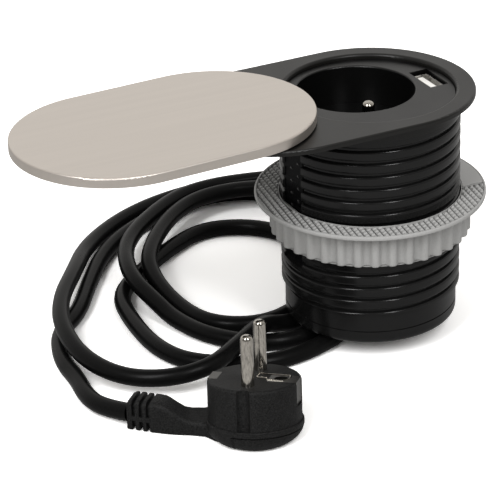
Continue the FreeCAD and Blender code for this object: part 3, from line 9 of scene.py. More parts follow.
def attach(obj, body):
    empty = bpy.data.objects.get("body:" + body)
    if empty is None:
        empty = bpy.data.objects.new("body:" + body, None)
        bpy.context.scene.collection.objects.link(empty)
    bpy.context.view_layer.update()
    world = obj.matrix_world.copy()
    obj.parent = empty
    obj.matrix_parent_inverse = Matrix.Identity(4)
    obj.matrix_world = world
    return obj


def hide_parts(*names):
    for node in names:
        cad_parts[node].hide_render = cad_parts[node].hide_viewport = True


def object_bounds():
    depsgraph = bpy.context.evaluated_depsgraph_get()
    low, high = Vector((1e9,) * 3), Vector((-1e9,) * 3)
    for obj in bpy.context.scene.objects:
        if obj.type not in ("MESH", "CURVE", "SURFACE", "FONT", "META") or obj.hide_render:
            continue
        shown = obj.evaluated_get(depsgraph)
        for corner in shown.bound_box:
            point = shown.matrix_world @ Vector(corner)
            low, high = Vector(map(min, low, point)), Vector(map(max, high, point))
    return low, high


# A desk socket block on a pale floor: oval flange, swivel steel lid, threaded barrel with its clamp nut,
# and a lead in loose turns that ends in its plug. All places are in the part's own frame. Mesh pieces and
# the cord's places are in millimetres; materials, floor, cord ends, lamps and camera are in metres.

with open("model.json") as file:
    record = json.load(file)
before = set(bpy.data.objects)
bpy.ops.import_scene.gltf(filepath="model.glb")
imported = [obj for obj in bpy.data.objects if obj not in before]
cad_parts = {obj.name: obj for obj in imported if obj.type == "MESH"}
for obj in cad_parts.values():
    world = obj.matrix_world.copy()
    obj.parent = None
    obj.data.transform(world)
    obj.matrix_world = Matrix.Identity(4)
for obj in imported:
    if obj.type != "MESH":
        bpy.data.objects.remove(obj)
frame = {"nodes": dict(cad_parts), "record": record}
cad_low, cad_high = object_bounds()
nodes = frame["nodes"]
scene = bpy.context.scene
MM = 0.001
FLOOR = round(cad_low[2], 6)


# Materials

NOISE_LOW = 0.3
NOISE_HIGH = 0.7
PLASTIC_GLOSS_SPREAD = (0.88, 1.14)
METAL_GLOSS_SPREAD = (0.85, 1.2)
GLOSS_PATCH = 0.03
PLASTIC_DETAIL = 2.0
METAL_DETAIL = 4.0
PATCH_DETAIL = 3.0


def shader_of(material):
    return material.node_tree.nodes["Principled BSDF"]


def new_material(name, color, roughness, metallic=0.0):
    made = bpy.data.materials.new(name)
    made.use_nodes = True
    shader = shader_of(made)
    shader.inputs["Base Color"].default_value = (*color, 1)
    shader.inputs["Roughness"].default_value = roughness
    shader.inputs["Metallic"].default_value = metallic
    return made


def add(material, kind, **inputs):
    """A new node of a material's tree, with its named inputs set to values or linked to sockets."""
    made = material.node_tree.nodes.new(kind)
    for name, value in inputs.items():
        socket = made.inputs[name]
        if isinstance(value, bpy.types.NodeSocket):
            material.node_tree.links.new(value, socket)
        else:
            socket.default_value = value
    return made


def link(material, output, name):
    material.node_tree.links.new(output, shader_of(material).inputs[name])


def own_coordinates(material, scale=(1, 1, 1)):
    """The piece's own coordinates in metres, scaled."""
    source = material.node_tree.nodes.new("ShaderNodeTexCoord")
    mapping = add(material, "ShaderNodeMapping", Vector=source.outputs["Object"])
    mapping.inputs["Scale"].default_value = scale
    return mapping.outputs["Vector"]


def noise(material, vector, size, detail):
    """Noise from 0 to 1 whose grains are about size metres."""
    made = add(material, "ShaderNodeTexNoise", Vector=vector, Scale=1 / size, Detail=detail)
    return made.outputs["Fac"]


def stretched(material, value, old, new):
    """A value carried from one range to another."""
    made = add(material, "ShaderNodeMapRange", Value=value)
    made.inputs["From Min"].default_value, made.inputs["From Max"].default_value = old
    made.inputs["To Min"].default_value, made.inputs["To Max"].default_value = new
    return made.outputs["Result"]


def spread(material, value, low, high):
    """A noise value stretched from its usual range to the range low..high."""
    return stretched(material, value, (NOISE_LOW, NOISE_HIGH), (low, high))


def vary_gloss(material, value, roughness, factors):
    low, high = factors
    link(material, spread(material, value, roughness * low, roughness * high), "Roughness")


def vary_shade(material, value, color, share):
    """Base colour between a darker and a lighter shade of one colour, set by a noise value."""
    factor = spread(material, value, 0.0, 1.0)
    made = material.node_tree.nodes.new("ShaderNodeMix")
    made.data_type = "RGBA"
    material.node_tree.links.new(factor, made.inputs["Factor"])
    dark, light = [socket for socket in made.inputs if socket.type == "RGBA"]
    dark.default_value = (*[channel * (1 - share) for channel in color], 1)
    light.default_value = (*[min(1.0, channel * (1 + share)) for channel in color], 1)
    mixed = [socket for socket in made.outputs if socket.type == "RGBA"][0]
    link(material, mixed, "Base Color")


def relief(material, height, depth):
    made = add(material, "ShaderNodeBump", Height=height, Strength=1.0, Distance=depth)
    link(material, made.outputs["Normal"], "Normal")


def moulded(name, color, roughness, grain, depth, shades, specular=0.5):
    """Moulded plastic or rubber: fine grain in the surface, slight changes of gloss and shade."""
    made = new_material(name, color, roughness)
    shader_of(made).inputs["Specular IOR Level"].default_value = specular
    coords = own_coordinates(made)
    fine = noise(made, coords, grain, PLASTIC_DETAIL)
    broad = noise(made, coords, GLOSS_PATCH, PATCH_DETAIL)
    vary_gloss(made, broad, roughness, PLASTIC_GLOSS_SPREAD)
    vary_shade(made, fine, color, shades)
    relief(made, fine, depth)
    return made


def metal(name, color, roughness, grain, depth, stretch=(1, 1, 1), streaks=0.06, streak_size=0.04):
    """Metal with fine marks and broader streaks, which the stretch draws out along one direction."""
    made = new_material(name, color, roughness, metallic=1.0)
    coords = own_coordinates(made, [1 / factor for factor in stretch])
    marks = noise(made, coords, grain, METAL_DETAIL)
    broad = noise(made, coords, streak_size, PATCH_DETAIL)
    vary_gloss(made, marks, roughness, METAL_GLOSS_SPREAD)
    vary_shade(made, broad, color, streaks)
    relief(made, marks, depth)
    return made


EDGE_TILT = 0.9


def finish_edges(material, flat, edge):
    """Another roughness where the surface turns away from level, as on a ground rim."""
    source = material.node_tree.nodes.new("ShaderNodeTexCoord")
    parts = add(material, "ShaderNodeSeparateXYZ", Vector=source.outputs["Normal"])
    link(material, stretched(material, parts.outputs["Z"], (EDGE_TILT, 1.0), (edge, flat)), "Roughness")


# Each finish has a name, a colour, a roughness, and the grain of its relief and its depth. A plastic then
# has its spread of shades and its specular level, and a metal the stretch, strength and size of streaks.
MATERIALS = {
    "bezel_black": moulded("bezel_plastic", (0.006, 0.0058, 0.0052), 0.34, 0.00035, 0.000012, 0.12, 0.28),
    "tube_black": moulded("tube_plastic", (0.005, 0.005, 0.005), 0.2, 0.0012, 0.000006, 0.1, 0.26),
    # Painted shade: a darker, almost unreflecting copy of the barrel's plastic for the key channel
    "channel_painted_shade": moulded("channel_plastic_painted_shade", (0.002, 0.002, 0.0025), 0.28, 0.0006, 0.00004, 0.2, 0.02),
    "insert_black": moulded("insert_plastic", (0.002, 0.002, 0.002), 0.32, 0.00035, 0.00001, 0.12, 0.3),
    "plug_black": moulded("plug_plastic", (0.009, 0.009, 0.009), 0.5, 0.00045, 0.0002, 0.85, 0.12),
    "cord_black": moulded("cord_sheath", (0.004, 0.004, 0.004), 0.28, 0.0007, 0.000008, 0.15, 0.08),
    "liner_black": moulded("liner_plastic", (0.014, 0.014, 0.014), 0.35, 0.0004, 0.00001, 0.15),
    "lid_steel": metal("lid_brushed_steel", (0.605, 0.557, 0.51), 0.3, 0.00022, 0.000003,
                       (30, 1, 1), 0.02, 0.0035),
    "screw_steel": metal("screw_bright_steel", (0.62, 0.61, 0.59), 0.25, 0.0003, 0.000003),
    "spring_steel": metal("spring_bright_steel", (0.5, 0.5, 0.49), 0.28, 0.0003, 0.000003),
    "usb_steel": metal("shell_bright_steel", (0.72, 0.71, 0.69), 0.22, 0.0003, 0.000003),
    # The pins' strong vertical colour streaks are partly grain and partly painted reflection
    "nickel": metal("pin_nickel", (0.42, 0.395, 0.355), 0.14, 0.0004, 0.00001, (1, 1, 14), 0.4, 0.0004),
    "contact_brass": metal("contact_brass_sheet", (0.78, 0.57, 0.25), 0.25, 0.0003, 0.000003),
    "inner_white": moulded("inner_plastic", (0.78, 0.77, 0.74), 0.4, 0.0004, 0.00001, 0.04),
    "board_green": moulded("board_lacquer", (0.02, 0.16, 0.07), 0.3, 0.0008, 0.00001, 0.2),
    "transformer_yellow": moulded("transformer_tape", (0.7, 0.5, 0.05), 0.4, 0.0008, 0.00001, 0.1),
    "capacitor_dark": moulded("capacitor_sleeve", (0.02, 0.02, 0.05), 0.25, 0.0008, 0.00001, 0.1),
    "clamp_grey": moulded("clamp_plastic", (0.34, 0.34, 0.335), 0.42, 0.0005, 0.00001, 0.05, 0.4),
    # Painted shade: a dark grey copy of the clamp plastic for the knurled face's floor between the pyramids
    "clamp_painted_shade": moulded("clamp_groove_painted_shade", (0.09, 0.09, 0.088), 0.5, 0.0005, 0.00001, 0.05, 0.2),
}
WIRES = {"green": (0.12, 0.4, 0.05), "blue": (0.02, 0.12, 0.5), "brown": (0.16, 0.06, 0.02)}
for hue, color in WIRES.items():
    MATERIALS["wire_" + hue] = moulded("wire_" + hue + "_sheath", color, 0.4, 0.0008, 0.00001, 0.1)
finish_edges(MATERIALS["lid_steel"], flat=0.3, edge=0.42)
# Painted shade: nickel darkened far below its own colour, for the plug's earth contact in its recess
PAINTED_SHADE_NICKEL = metal("contact_nickel_painted_shade", (0.075, 0.072, 0.066), 0.35, 0.0004, 0.000004)

SLOT_OF = {part["node"]: part["material_slot"] for part in frame["record"]["subparts"]}
for name, item in nodes.items():
    item.data.materials.clear()
    item.data.materials.append(MATERIALS[SLOT_OF[name]])
# The earth contact takes the painted shade nickel
nodes["plug_earth_contact"].data.materials[0] = PAINTED_SHADE_NICKEL


# Helpers for pieces made in mesh code

SHADE_TOLERANCE = 0.02
BEVEL_SEGMENTS = 3
# Degrees between two faces from which their edge is drawn sharp
SHARP_ANGLE = 40.0
NUT_SHARP_ANGLE = 50.0
PLUG_SHARP_ANGLE = 38.0


def piece(name, bm, slot, replaced, body="block", sharp=SHARP_ANGLE, shaded=None):
    """Turn a bmesh in millimetres into a smooth-shaded piece that stands for CAD nodes."""
    bmesh.ops.scale(bm, vec=(MM, MM, MM), verts=bm.verts)
    bmesh.ops.recalc_face_normals(bm, faces=bm.faces)
    mesh = bpy.data.meshes.new(name)
    bm.to_mesh(mesh)
    bm.free()
    mesh.shade_smooth()
    mesh.set_sharp_from_angle(angle=math.radians(sharp))
    mesh.materials.append(MATERIALS[slot])
    if shaded:
        mesh.materials.append(MATERIALS[shaded])
    item = bpy.data.objects.new(name, mesh)
    scene.collection.objects.link(item)
    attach(item, body)
    if replaced:
        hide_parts(*replaced)
    return item


def skin(bm, rings, closed=False):
    """Faces between rings of the same number of vertices, each ring a closed loop."""
    pairs = list(zip(rings, rings[1:]))
    if closed:
        pairs.append((rings[-1], rings[0]))
    for ring, following in pairs:
        count = len(ring)
        for index in range(count):
            after = (index + 1) % count
            bm.faces.new((ring[index], ring[after], following[after], following[index]))


def around(count):
    return [2 * math.pi * index / count for index in range(count)]


def polar(radius, angle, height):
    return (radius * math.cos(angle), radius * math.sin(angle), height)


def turned(bm, profile, steps, closed=True):
    """Surface of revolution about the barrel's axis, from (radius, height) pairs."""
    rings = [[bm.verts.new(polar(radius, angle, height)) for angle in around(steps)]
             for radius, height in profile]
    skin(bm, rings, closed)


def shade(bm, chosen):
    """Give the second material, a painted shade, to the faces whose middles are chosen."""
    for face in bm.faces:
        if chosen(face.calc_center_median()):
            face.material_index = 1


def block(bm, low, high, bevel=0.0):
    """An upright block between two corners, with its edges rounded by the bevel."""
    made = bmesh.ops.create_cube(bm, size=1.0)["verts"]
    span = Vector(high) - Vector(low)
    bmesh.ops.scale(bm, vec=span, verts=made)
    bmesh.ops.translate(bm, vec=(Vector(low) + Vector(high)) / 2, verts=made)
    if bevel:
        edges = dict.fromkeys(edge for vert in made for edge in vert.link_edges)
        bmesh.ops.bevel(
            bm, geom=list(edges), offset=bevel, segments=BEVEL_SEGMENTS, profile=0.5, affect="EDGES")


# Barrel: one right-hand groove wound down the land, a flat key channel in painted shade, and a plain band
# with a seam

BARREL_RADIUS = 34.4
BARREL_ROOT = 33.1
BARREL_BORE = 31.0
BARREL_LOW = -85.0
BARREL_STEPS = 150
BORE_STEPS = 96
THREAD_PITCH = 5.1
THREAD_HIGH = -5.6
THREAD_LOW = -76.9
SPARE_TURNS = 2
FRONT = math.radians(-116.2)
FIRST_GROOVE = -9.1
# Drop within the pitch, and radius
GROOVE = [
    (0.0, BARREL_ROOT), (0.42, BARREL_ROOT), (0.58, 33.45), (0.72, 33.95), (0.9, 34.24), (1.2, 34.37),
    (1.6, BARREL_RADIUS), (3.5, BARREL_RADIUS), (3.9, 34.37), (4.2, 34.24), (4.38, 33.95), (4.52, 33.45),
    (4.68, BARREL_ROOT),
]
SEAM_RADIUS = BARREL_ROOT - 0.35
SEAM_TOP = BARREL_LOW + 0.5
SEAM_FOOT = BARREL_LOW + 0.4
BAND = [
    (BARREL_ROOT, THREAD_LOW), (BARREL_ROOT, SEAM_TOP), (SEAM_RADIUS, SEAM_FOOT), (SEAM_RADIUS, BARREL_LOW),
    (BARREL_BORE, BARREL_LOW),
]
KEY_FLAT = 32.8
KEY_HALF_WIDTH = 7.15
KEY_TOP = -8.4
KEY_LOW = -63.0
KEY_STEP = 0.1
KEY_EDGE = math.atan2(KEY_HALF_WIDTH, KEY_FLAT)
KEY_MARGIN = math.radians(0.15)
KEY_CLEARANCE = 3 * KEY_MARGIN
NUB_ROWS = 10
NUB_SEGMENTS = 12
NUB_RINGS = 8
NUB_SIZE = (0.25, 1.1, 0.6)
# Place across the channel, and drop below its top
NUB_PLACES = ((1.4, 1.0), (-3.9, 2.6))
CUT_TOLERANCE = 1e-5
LEVEL_TOLERANCE = 1e-3


def barrel_angles():
    """Even steps round the barrel, and a close pair of steps at either edge of the key channel."""
    angles = [angle for angle in around(BARREL_STEPS)
              if abs(abs(angle - math.pi) - KEY_EDGE) > KEY_CLEARANCE]
    for side in (-1, 1):
        angles += [math.pi + side * (KEY_EDGE - KEY_MARGIN), math.pi + side * (KEY_EDGE + KEY_MARGIN)]
    return sorted(angles)


def wind_thread(bm, angles):
    """The groove's profile wound down the barrel, with spare turns past either end of the thread."""
    turns = int((THREAD_HIGH - THREAD_LOW) / THREAD_PITCH) + 2 * SPARE_TURNS
    start = FIRST_GROOVE + SPARE_TURNS * THREAD_PITCH - THREAD_PITCH * FRONT / (2 * math.pi)
    rows = []
    for turn in range(turns):
        for drop, radius in GROOVE:
            rows.append([
                bm.verts.new(polar(
                    radius, angle, start + THREAD_PITCH * (angle / (2 * math.pi) - turn) - drop))
                for angle in angles])
    for row, following in zip(rows, rows[1:]):
        for index in range(len(angles) - 1):
            bm.faces.new((row[index], row[index + 1], following[index + 1], following[index]))
    for index in range(len(GROOVE), len(rows) - 1):
        above = index - len(GROOVE)
        bm.faces.new((rows[index][-1], rows[above][0], rows[above + 1][0], rows[index + 1][-1]))


def cut_level(bm, height, clear_above=False, clear_below=False):
    bmesh.ops.bisect_plane(
        bm, geom=bm.verts[:] + bm.edges[:] + bm.faces[:], dist=CUT_TOLERANCE, plane_co=(0, 0, height),
        plane_no=(0, 0, 1), clear_outer=clear_above, clear_inner=clear_below)


def flatten_key(bm):
    """The key channel's floor, a flat on the barrel's -X side between two levels."""
    for height in (KEY_TOP, KEY_TOP - KEY_STEP, KEY_LOW + KEY_STEP, KEY_LOW):
        cut_level(bm, height)
    for vert in bm.verts:
        off = math.pi - abs(math.atan2(vert.co.y, vert.co.x))
        if off < KEY_EDGE and KEY_LOW + KEY_STEP / 2 < vert.co.z < KEY_TOP - KEY_STEP / 2:
            vert.co.x, vert.co.y = -KEY_FLAT, math.copysign(KEY_FLAT * math.tan(off), vert.co.y)


def extend(bm, height, profile):
    """Carry the open edge at a level on through (radius, height) pairs."""
    edges = [edge for edge in bm.edges
             if edge.is_boundary and all(abs(vert.co.z - height) < LEVEL_TOLERANCE for vert in edge.verts)]
    for radius, level in profile:
        grown = bmesh.ops.extrude_edge_only(bm, edges=edges)["geom"]
        edges = [item for item in grown if isinstance(item, bmesh.types.BMEdge)]
        for vert in (item for item in grown if isinstance(item, bmesh.types.BMVert)):
            vert.co = polar(radius, math.atan2(vert.co.y, vert.co.x), level)


def add_nub(bm, aside, height):
    """A small moulded bar in the key channel."""
    made = bmesh.ops.create_uvsphere(
        bm, u_segments=NUB_SEGMENTS, v_segments=NUB_RINGS, radius=1.0)["verts"]
    bmesh.ops.scale(bm, vec=NUB_SIZE, verts=made)
    bmesh.ops.translate(bm, vec=(-KEY_FLAT, aside, height), verts=made)


def make_barrel():
    bm = bmesh.new()
    wind_thread(bm, barrel_angles())
    cut_level(bm, THREAD_HIGH, clear_above=True)
    cut_level(bm, THREAD_LOW, clear_below=True)
    flatten_key(bm)
    extend(bm, THREAD_HIGH, [(BARREL_BORE, THREAD_HIGH)])
    extend(bm, THREAD_LOW, BAND)
    turned(bm, [(BARREL_BORE, THREAD_HIGH), (BARREL_BORE, BARREL_LOW)], BORE_STEPS, closed=False)
    for row in range(NUB_ROWS):
        for aside, drop in NUB_PLACES:
            add_nub(bm, aside, KEY_TOP - drop - row * THREAD_PITCH)
    # The key channel's floor takes the painted shade
    shade(bm, lambda middle: abs(middle.x + KEY_FLAT) < SHADE_TOLERANCE and abs(middle.y) < KEY_HALF_WIDTH)
    return piece("barrel_thread", bm, "tube_black", ["threaded_tube"], shaded="channel_painted_shade")


# Clamp washer with its rim, its knurled face with painted shade between the pyramids, and one plain sector

WASHER_TOP = -39.4
WASHER_LOW = -41.1
WASHER_RADIUS = 44.3
WASHER_BORE = 34.75
WASHER_STEPS = 180
WASHER_CHAMFER = 0.3
WASHER_ROUND = 0.4
WASHER_SHOULDER = 0.12
RIM_WIDTH = 0.7
LIP_WIDTH = 0.4
LIP_DROP = 0.15
FACE_SLOPE = 0.05
KEY_TAB_REACH = 33.1
KEY_TAB_HALF_WIDTH = 6.8
KEY_TAB_ROOT = WASHER_BORE + 0.6
KEY_TAB_THICKNESS = 0.5
KNURL_PITCH = 2.27
KNURL_FOOT = 0.88
KNURL_CREST = 0.46
KNURL_TURN = math.radians(-8.0)
KNURL_RISE = 0.75
KNURL_SINK = 0.02
KNURL_NEAR = WASHER_BORE + 0.6
KNURL_FAR = WASHER_RADIUS - 0.85
KNURL_SPILL = 0.5
WASHER_FACE = WASHER_TOP - KNURL_RISE
PLAIN_HALF_WIDTH = 17.2
PLAIN_STEPS = 12


def add_knurl(bm):
    """Square pyramids with cut tops in rows over the washer's face, short of the plain sector."""
    reach = int(WASHER_RADIUS / KNURL_PITCH) + 1
    turn = Matrix.Rotation(KNURL_TURN, 2)
    for row in range(-reach, reach + 1):
        for column in range(-reach, reach + 1):
            middle = turn @ Vector((row * KNURL_PITCH, column * KNURL_PITCH))
            plain = middle.x > 0 and abs(middle.y) < PLAIN_HALF_WIDTH
            if plain or not KNURL_NEAR - KNURL_SPILL < middle.length < KNURL_FAR + KNURL_SPILL:
                continue
            rings = []
            for half, height in ((KNURL_FOOT, WASHER_FACE - KNURL_SINK),
                                 (KNURL_CREST, WASHER_FACE + KNURL_RISE)):
                ring = []
                for side in ((-1, -1), (1, -1), (1, 1), (-1, 1)):
                    corner = middle + turn @ Vector(side) * half
                    radius = min(KNURL_FAR, max(KNURL_NEAR, corner.length))
                    corner = corner * (radius / corner.length)
                    ring.append(bm.verts.new((corner.x, corner.y, height)))
                rings.append(ring)
            skin(bm, rings)
            bm.faces.new(rings[1])


def add_plain_sector(bm):
    rings = []
    for height in (WASHER_FACE - KNURL_SINK, WASHER_FACE + KNURL_RISE):
        ring = []
        for radius, way in ((KNURL_NEAR, 1), (KNURL_FAR, -1)):
            end = math.asin(PLAIN_HALF_WIDTH / radius)
            for step in range(2 * PLAIN_STEPS + 1):
                angle = way * end * (step / PLAIN_STEPS - 1)
                ring.append(bm.verts.new(polar(radius, angle, height)))
        rings.append(ring)
    skin(bm, rings)
    bm.faces.new(rings[1])


def add_key_tab(bm):
    """The tongue on the washer that runs in the barrel's key channel."""
    corners = [(-KEY_TAB_ROOT, -KEY_TAB_HALF_WIDTH), (-KEY_TAB_REACH, -KEY_TAB_HALF_WIDTH),
               (-KEY_TAB_REACH, KEY_TAB_HALF_WIDTH), (-KEY_TAB_ROOT, KEY_TAB_HALF_WIDTH)]
    rings = [[bm.verts.new((x, y, height)) for x, y in corners]
             for height in (WASHER_LOW, WASHER_LOW + KEY_TAB_THICKNESS)]
    skin(bm, rings)
    bm.faces.new(rings[0])
    bm.faces.new(rings[1])


def make_washer():
    bm = bmesh.new()
    turned(bm, [
        (WASHER_BORE, WASHER_LOW + WASHER_CHAMFER), (WASHER_BORE + WASHER_CHAMFER, WASHER_LOW),
        (WASHER_RADIUS - WASHER_ROUND, WASHER_LOW),
        (WASHER_RADIUS - WASHER_SHOULDER, WASHER_LOW + WASHER_SHOULDER),
        (WASHER_RADIUS, WASHER_LOW + WASHER_ROUND), (WASHER_RADIUS, WASHER_TOP - WASHER_ROUND),
        (WASHER_RADIUS - WASHER_SHOULDER, WASHER_TOP - WASHER_SHOULDER),
        (WASHER_RADIUS - WASHER_ROUND, WASHER_TOP), (WASHER_RADIUS - RIM_WIDTH, WASHER_TOP),
        (WASHER_RADIUS - RIM_WIDTH - FACE_SLOPE, WASHER_FACE),
        (WASHER_BORE + LIP_WIDTH + FACE_SLOPE, WASHER_FACE),
        (WASHER_BORE + LIP_WIDTH, WASHER_TOP - LIP_DROP), (WASHER_BORE + LIP_DROP, WASHER_TOP - LIP_DROP),
        (WASHER_BORE, WASHER_TOP - WASHER_CHAMFER),
    ], WASHER_STEPS)
    # The knurled face's floor between the pyramids takes the painted shade
    shade(bm, lambda middle: abs(middle.z - WASHER_FACE) < SHADE_TOLERANCE)
    add_knurl(bm)
    add_plain_sector(bm)
    add_key_tab(bm)
    return piece("knurled_washer", bm, "clamp_grey", ["clamp_washer"], "washer", shaded="clamp_painted_shade")


# Clamp nut with its flutes

NUT_TOP = -41.4
NUT_LOW = -55.2
NUT_RADIUS = 38.6
NUT_FLUTES = 36
NUT_BORE_CHAMFER = 0.5
# Inset, height, and share of the flutes' depth
NUT_FLANK = [
    (1.6, NUT_LOW, 0), (0.7, NUT_LOW + 0.06, 1), (0.2, NUT_LOW + 0.3, 1), (0.0, NUT_LOW + 0.8, 1),
    (0.0, NUT_TOP - 0.5, 1), (0.2, NUT_TOP - 0.15, 1), (0.6, NUT_TOP, 1),
]
FLUTE_STEPS = 12
FLUTE_DEPTH = 2.1
FLUTE_STEEPNESS = 1.7
FIRST_CREST = math.radians(4.0)


def flute_depth(angle):
    """How deep the nut's flank lies at an angle: narrow round crests, steep flanks and wide valleys."""
    wave = math.cos((angle - FIRST_CREST) * NUT_FLUTES)
    return FLUTE_DEPTH * (1 - math.tanh(FLUTE_STEEPNESS * wave) / math.tanh(FLUTE_STEEPNESS)) / 2


def make_nut():
    bm = bmesh.new()
    bore = [(WASHER_BORE + NUT_BORE_CHAMFER, NUT_TOP), (WASHER_BORE, NUT_TOP - NUT_BORE_CHAMFER),
            (WASHER_BORE, NUT_LOW + NUT_BORE_CHAMFER), (WASHER_BORE + NUT_BORE_CHAMFER, NUT_LOW)]
    rows = [(NUT_RADIUS - inset, height, share) for inset, height, share in NUT_FLANK]
    rows += [(radius, height, 0) for radius, height in bore]
    rings = [[bm.verts.new(polar(radius - share * flute_depth(angle), angle, height))
              for angle in around(NUT_FLUTES * FLUTE_STEPS)]
             for radius, height, share in rows]
    skin(bm, rings, closed=True)
    return piece("fluted_nut", bm, "clamp_grey", ["clamp_nut"], "nut", NUT_SHARP_ANGLE)


# USB outlet: the pale tongue with its heel and its four contacts

TONGUE_WEST = 24.3
TONGUE_EAST = 26.7
TONGUE_MIDDLE = 0.5
TONGUE_HALF_LENGTH = 5.5
TONGUE_TOP = -1.7
TONGUE_LOW = -13.0
TONGUE_BEVEL = 0.25
HEEL_WEST = 23.4
HEEL_EAST = 28.4
HEEL_HALF_LENGTH = 6.1
HEEL_TOP = TONGUE_LOW + 0.4
HEEL_LOW = TONGUE_LOW - 1.2
CONTACTS = 4
CONTACT_SPACING = 2.4
CONTACT_HALF_WIDTH = 0.5
CONTACT_WEST = TONGUE_WEST - 0.12
CONTACT_EAST = TONGUE_WEST + 0.2
CONTACT_TOP = -3.4
CONTACT_LOW = TONGUE_LOW + 1
CONTACT_BEVEL = 0.1


def make_tongue():
    bm = bmesh.new()
    block(bm, (TONGUE_WEST, TONGUE_MIDDLE - TONGUE_HALF_LENGTH, TONGUE_LOW),
          (TONGUE_EAST, TONGUE_MIDDLE + TONGUE_HALF_LENGTH, TONGUE_TOP), TONGUE_BEVEL)
    block(bm, (HEEL_WEST, TONGUE_MIDDLE - HEEL_HALF_LENGTH, HEEL_LOW),
          (HEEL_EAST, TONGUE_MIDDLE + HEEL_HALF_LENGTH, HEEL_TOP))
    for index in range(CONTACTS):
        middle = TONGUE_MIDDLE + (index - (CONTACTS - 1) / 2) * CONTACT_SPACING
        block(bm, (CONTACT_WEST, middle - CONTACT_HALF_WIDTH, CONTACT_LOW),
              (CONTACT_EAST, middle + CONTACT_HALF_WIDTH, CONTACT_TOP), CONTACT_BEVEL)
    return piece("outlet_tongue", bm, "inner_white", ["usb_tongue"])


# Plug: the dished sole under the body, with its rim plate and its door

PLUG_ORIGIN = Vector((-77.08, -52.17, -76.53))
PLUG_HEADING = math.radians(-26.15)
PLUG_LEAN = math.radians(-10.6)
PLUG_TWIST = math.radians(-14.5)
PLUG_TURN = (Matrix.Rotation(PLUG_HEADING, 3, "Z") @ Matrix.Rotation(PLUG_LEAN, 3, "X")
             @ Matrix.Rotation(PLUG_TWIST, 3, "Z"))
PLUG_FLOOR = -97.65
SOLE_RADIUS = 17.9
SOLE_INNER_RADIUS = 16.6
SOLE_TOP = -15.4
SOLE_ROUND = 0.3
SOLE_EDGE = -18.0
SOLE_FLAT = 12.6
SOLE_STEPS = 180
BOWL_STEPS = 10
DOOR_INSET = 0.5
DOOR_NOTCH = 1.1
DOOR_NOTCH_HALF = math.radians(1.6)
DOOR_MIDDLE = math.radians(14.0)
DOOR_HALF = math.radians(118.0)
GROOVE_SHARE = 1.6
DOOR_SHARE = 0.6
PLATE_FOOT = SOLE_EDGE + 0.6
GROOVE_ROOF = SOLE_EDGE + 0.55
GROOVE_FOOT = SOLE_EDGE + 0.1
# Radius, height, and share of the door's inset
SOLE_PLATE = [
    (SOLE_INNER_RADIUS, SOLE_TOP, 0), (SOLE_RADIUS - SOLE_ROUND, SOLE_TOP, 0),
    (SOLE_RADIUS, SOLE_TOP - SOLE_ROUND, 0), (SOLE_RADIUS, PLATE_FOOT, 0),
    (SOLE_RADIUS, GROOVE_ROOF, GROOVE_SHARE), (SOLE_RADIUS, GROOVE_FOOT, GROOVE_SHARE),
]


def on_plug(x, y, z):
    return PLUG_ORIGIN + PLUG_TURN @ Vector((x, y, z))


def door_inset(angle):
    """How far the sole's lower shell lies inside its rim plate: a door with a notch at either end."""
    off = abs((angle - DOOR_MIDDLE + math.pi) % (2 * math.pi) - math.pi)
    if abs(off - DOOR_HALF) < DOOR_NOTCH_HALF:
        return DOOR_NOTCH
    return DOOR_INSET if off < DOOR_HALF else 0.0


def sole_ring(radius, height, share):
    """A ring of the sole, drawn in by a share of the door's inset."""
    return [on_plug(*polar(radius - share * door_inset(angle), angle, height))
            for angle in around(SOLE_STEPS)]


def bowl_ring(edge, middle, part):
    """A ring of the bowl: on each spoke, a place on the quarter ellipse from the edge to the floor."""
    ring = []
    for place in edge:
        spoke = Vector((place.x - middle.x, place.y - middle.y, 0)) * (SOLE_FLAT / SOLE_RADIUS)
        flat = Vector((middle.x + spoke.x, middle.y + spoke.y, PLUG_FLOOR))
        ring.append(Vector((
            flat.x + (place.x - flat.x) * math.sin(part), flat.y + (place.y - flat.y) * math.sin(part),
            max(PLUG_FLOOR, PLUG_FLOOR + (place.z - PLUG_FLOOR) * (1 - math.cos(part))))))
    return ring


def closed_loft(bm, rings):
    made = [[bm.verts.new(place) for place in ring] for ring in rings]
    skin(bm, made)
    bm.faces.new(made[0])
    bm.faces.new(made[-1])


def add_sole(bm):
    """The sole's rim plate with the groove under it, then a bowl down to the flat on the floor."""
    rings = [sole_ring(radius, height, share) for radius, height, share in SOLE_PLATE]
    edge = sole_ring(SOLE_RADIUS, SOLE_EDGE, DOOR_SHARE)
    middle = on_plug(0, 0, SOLE_EDGE)
    for step in range(BOWL_STEPS + 1):
        rings.append(bowl_ring(edge, middle, math.pi / 2 * (1 - step / BOWL_STEPS)))
    closed_loft(bm, rings)


# Plug's arm, whose slotted boot takes the lead

BOOT_TOP = -85.5
BOOT_SLOT = 1.5
# Near and far place in plan
SLOT_STARTS = [((-117.4, -32.0), (-110.3, -25.0)), ((-115.4, -34.1), (-108.3, -27.0)),
               ((-113.5, -36.0), (-106.4, -28.9))]
# Way along the boot, and whether a slot is cut in
SLOT_STEPS = [(0.0, 0), (0.1, 1), (0.9, 1), (1.0, 0)]
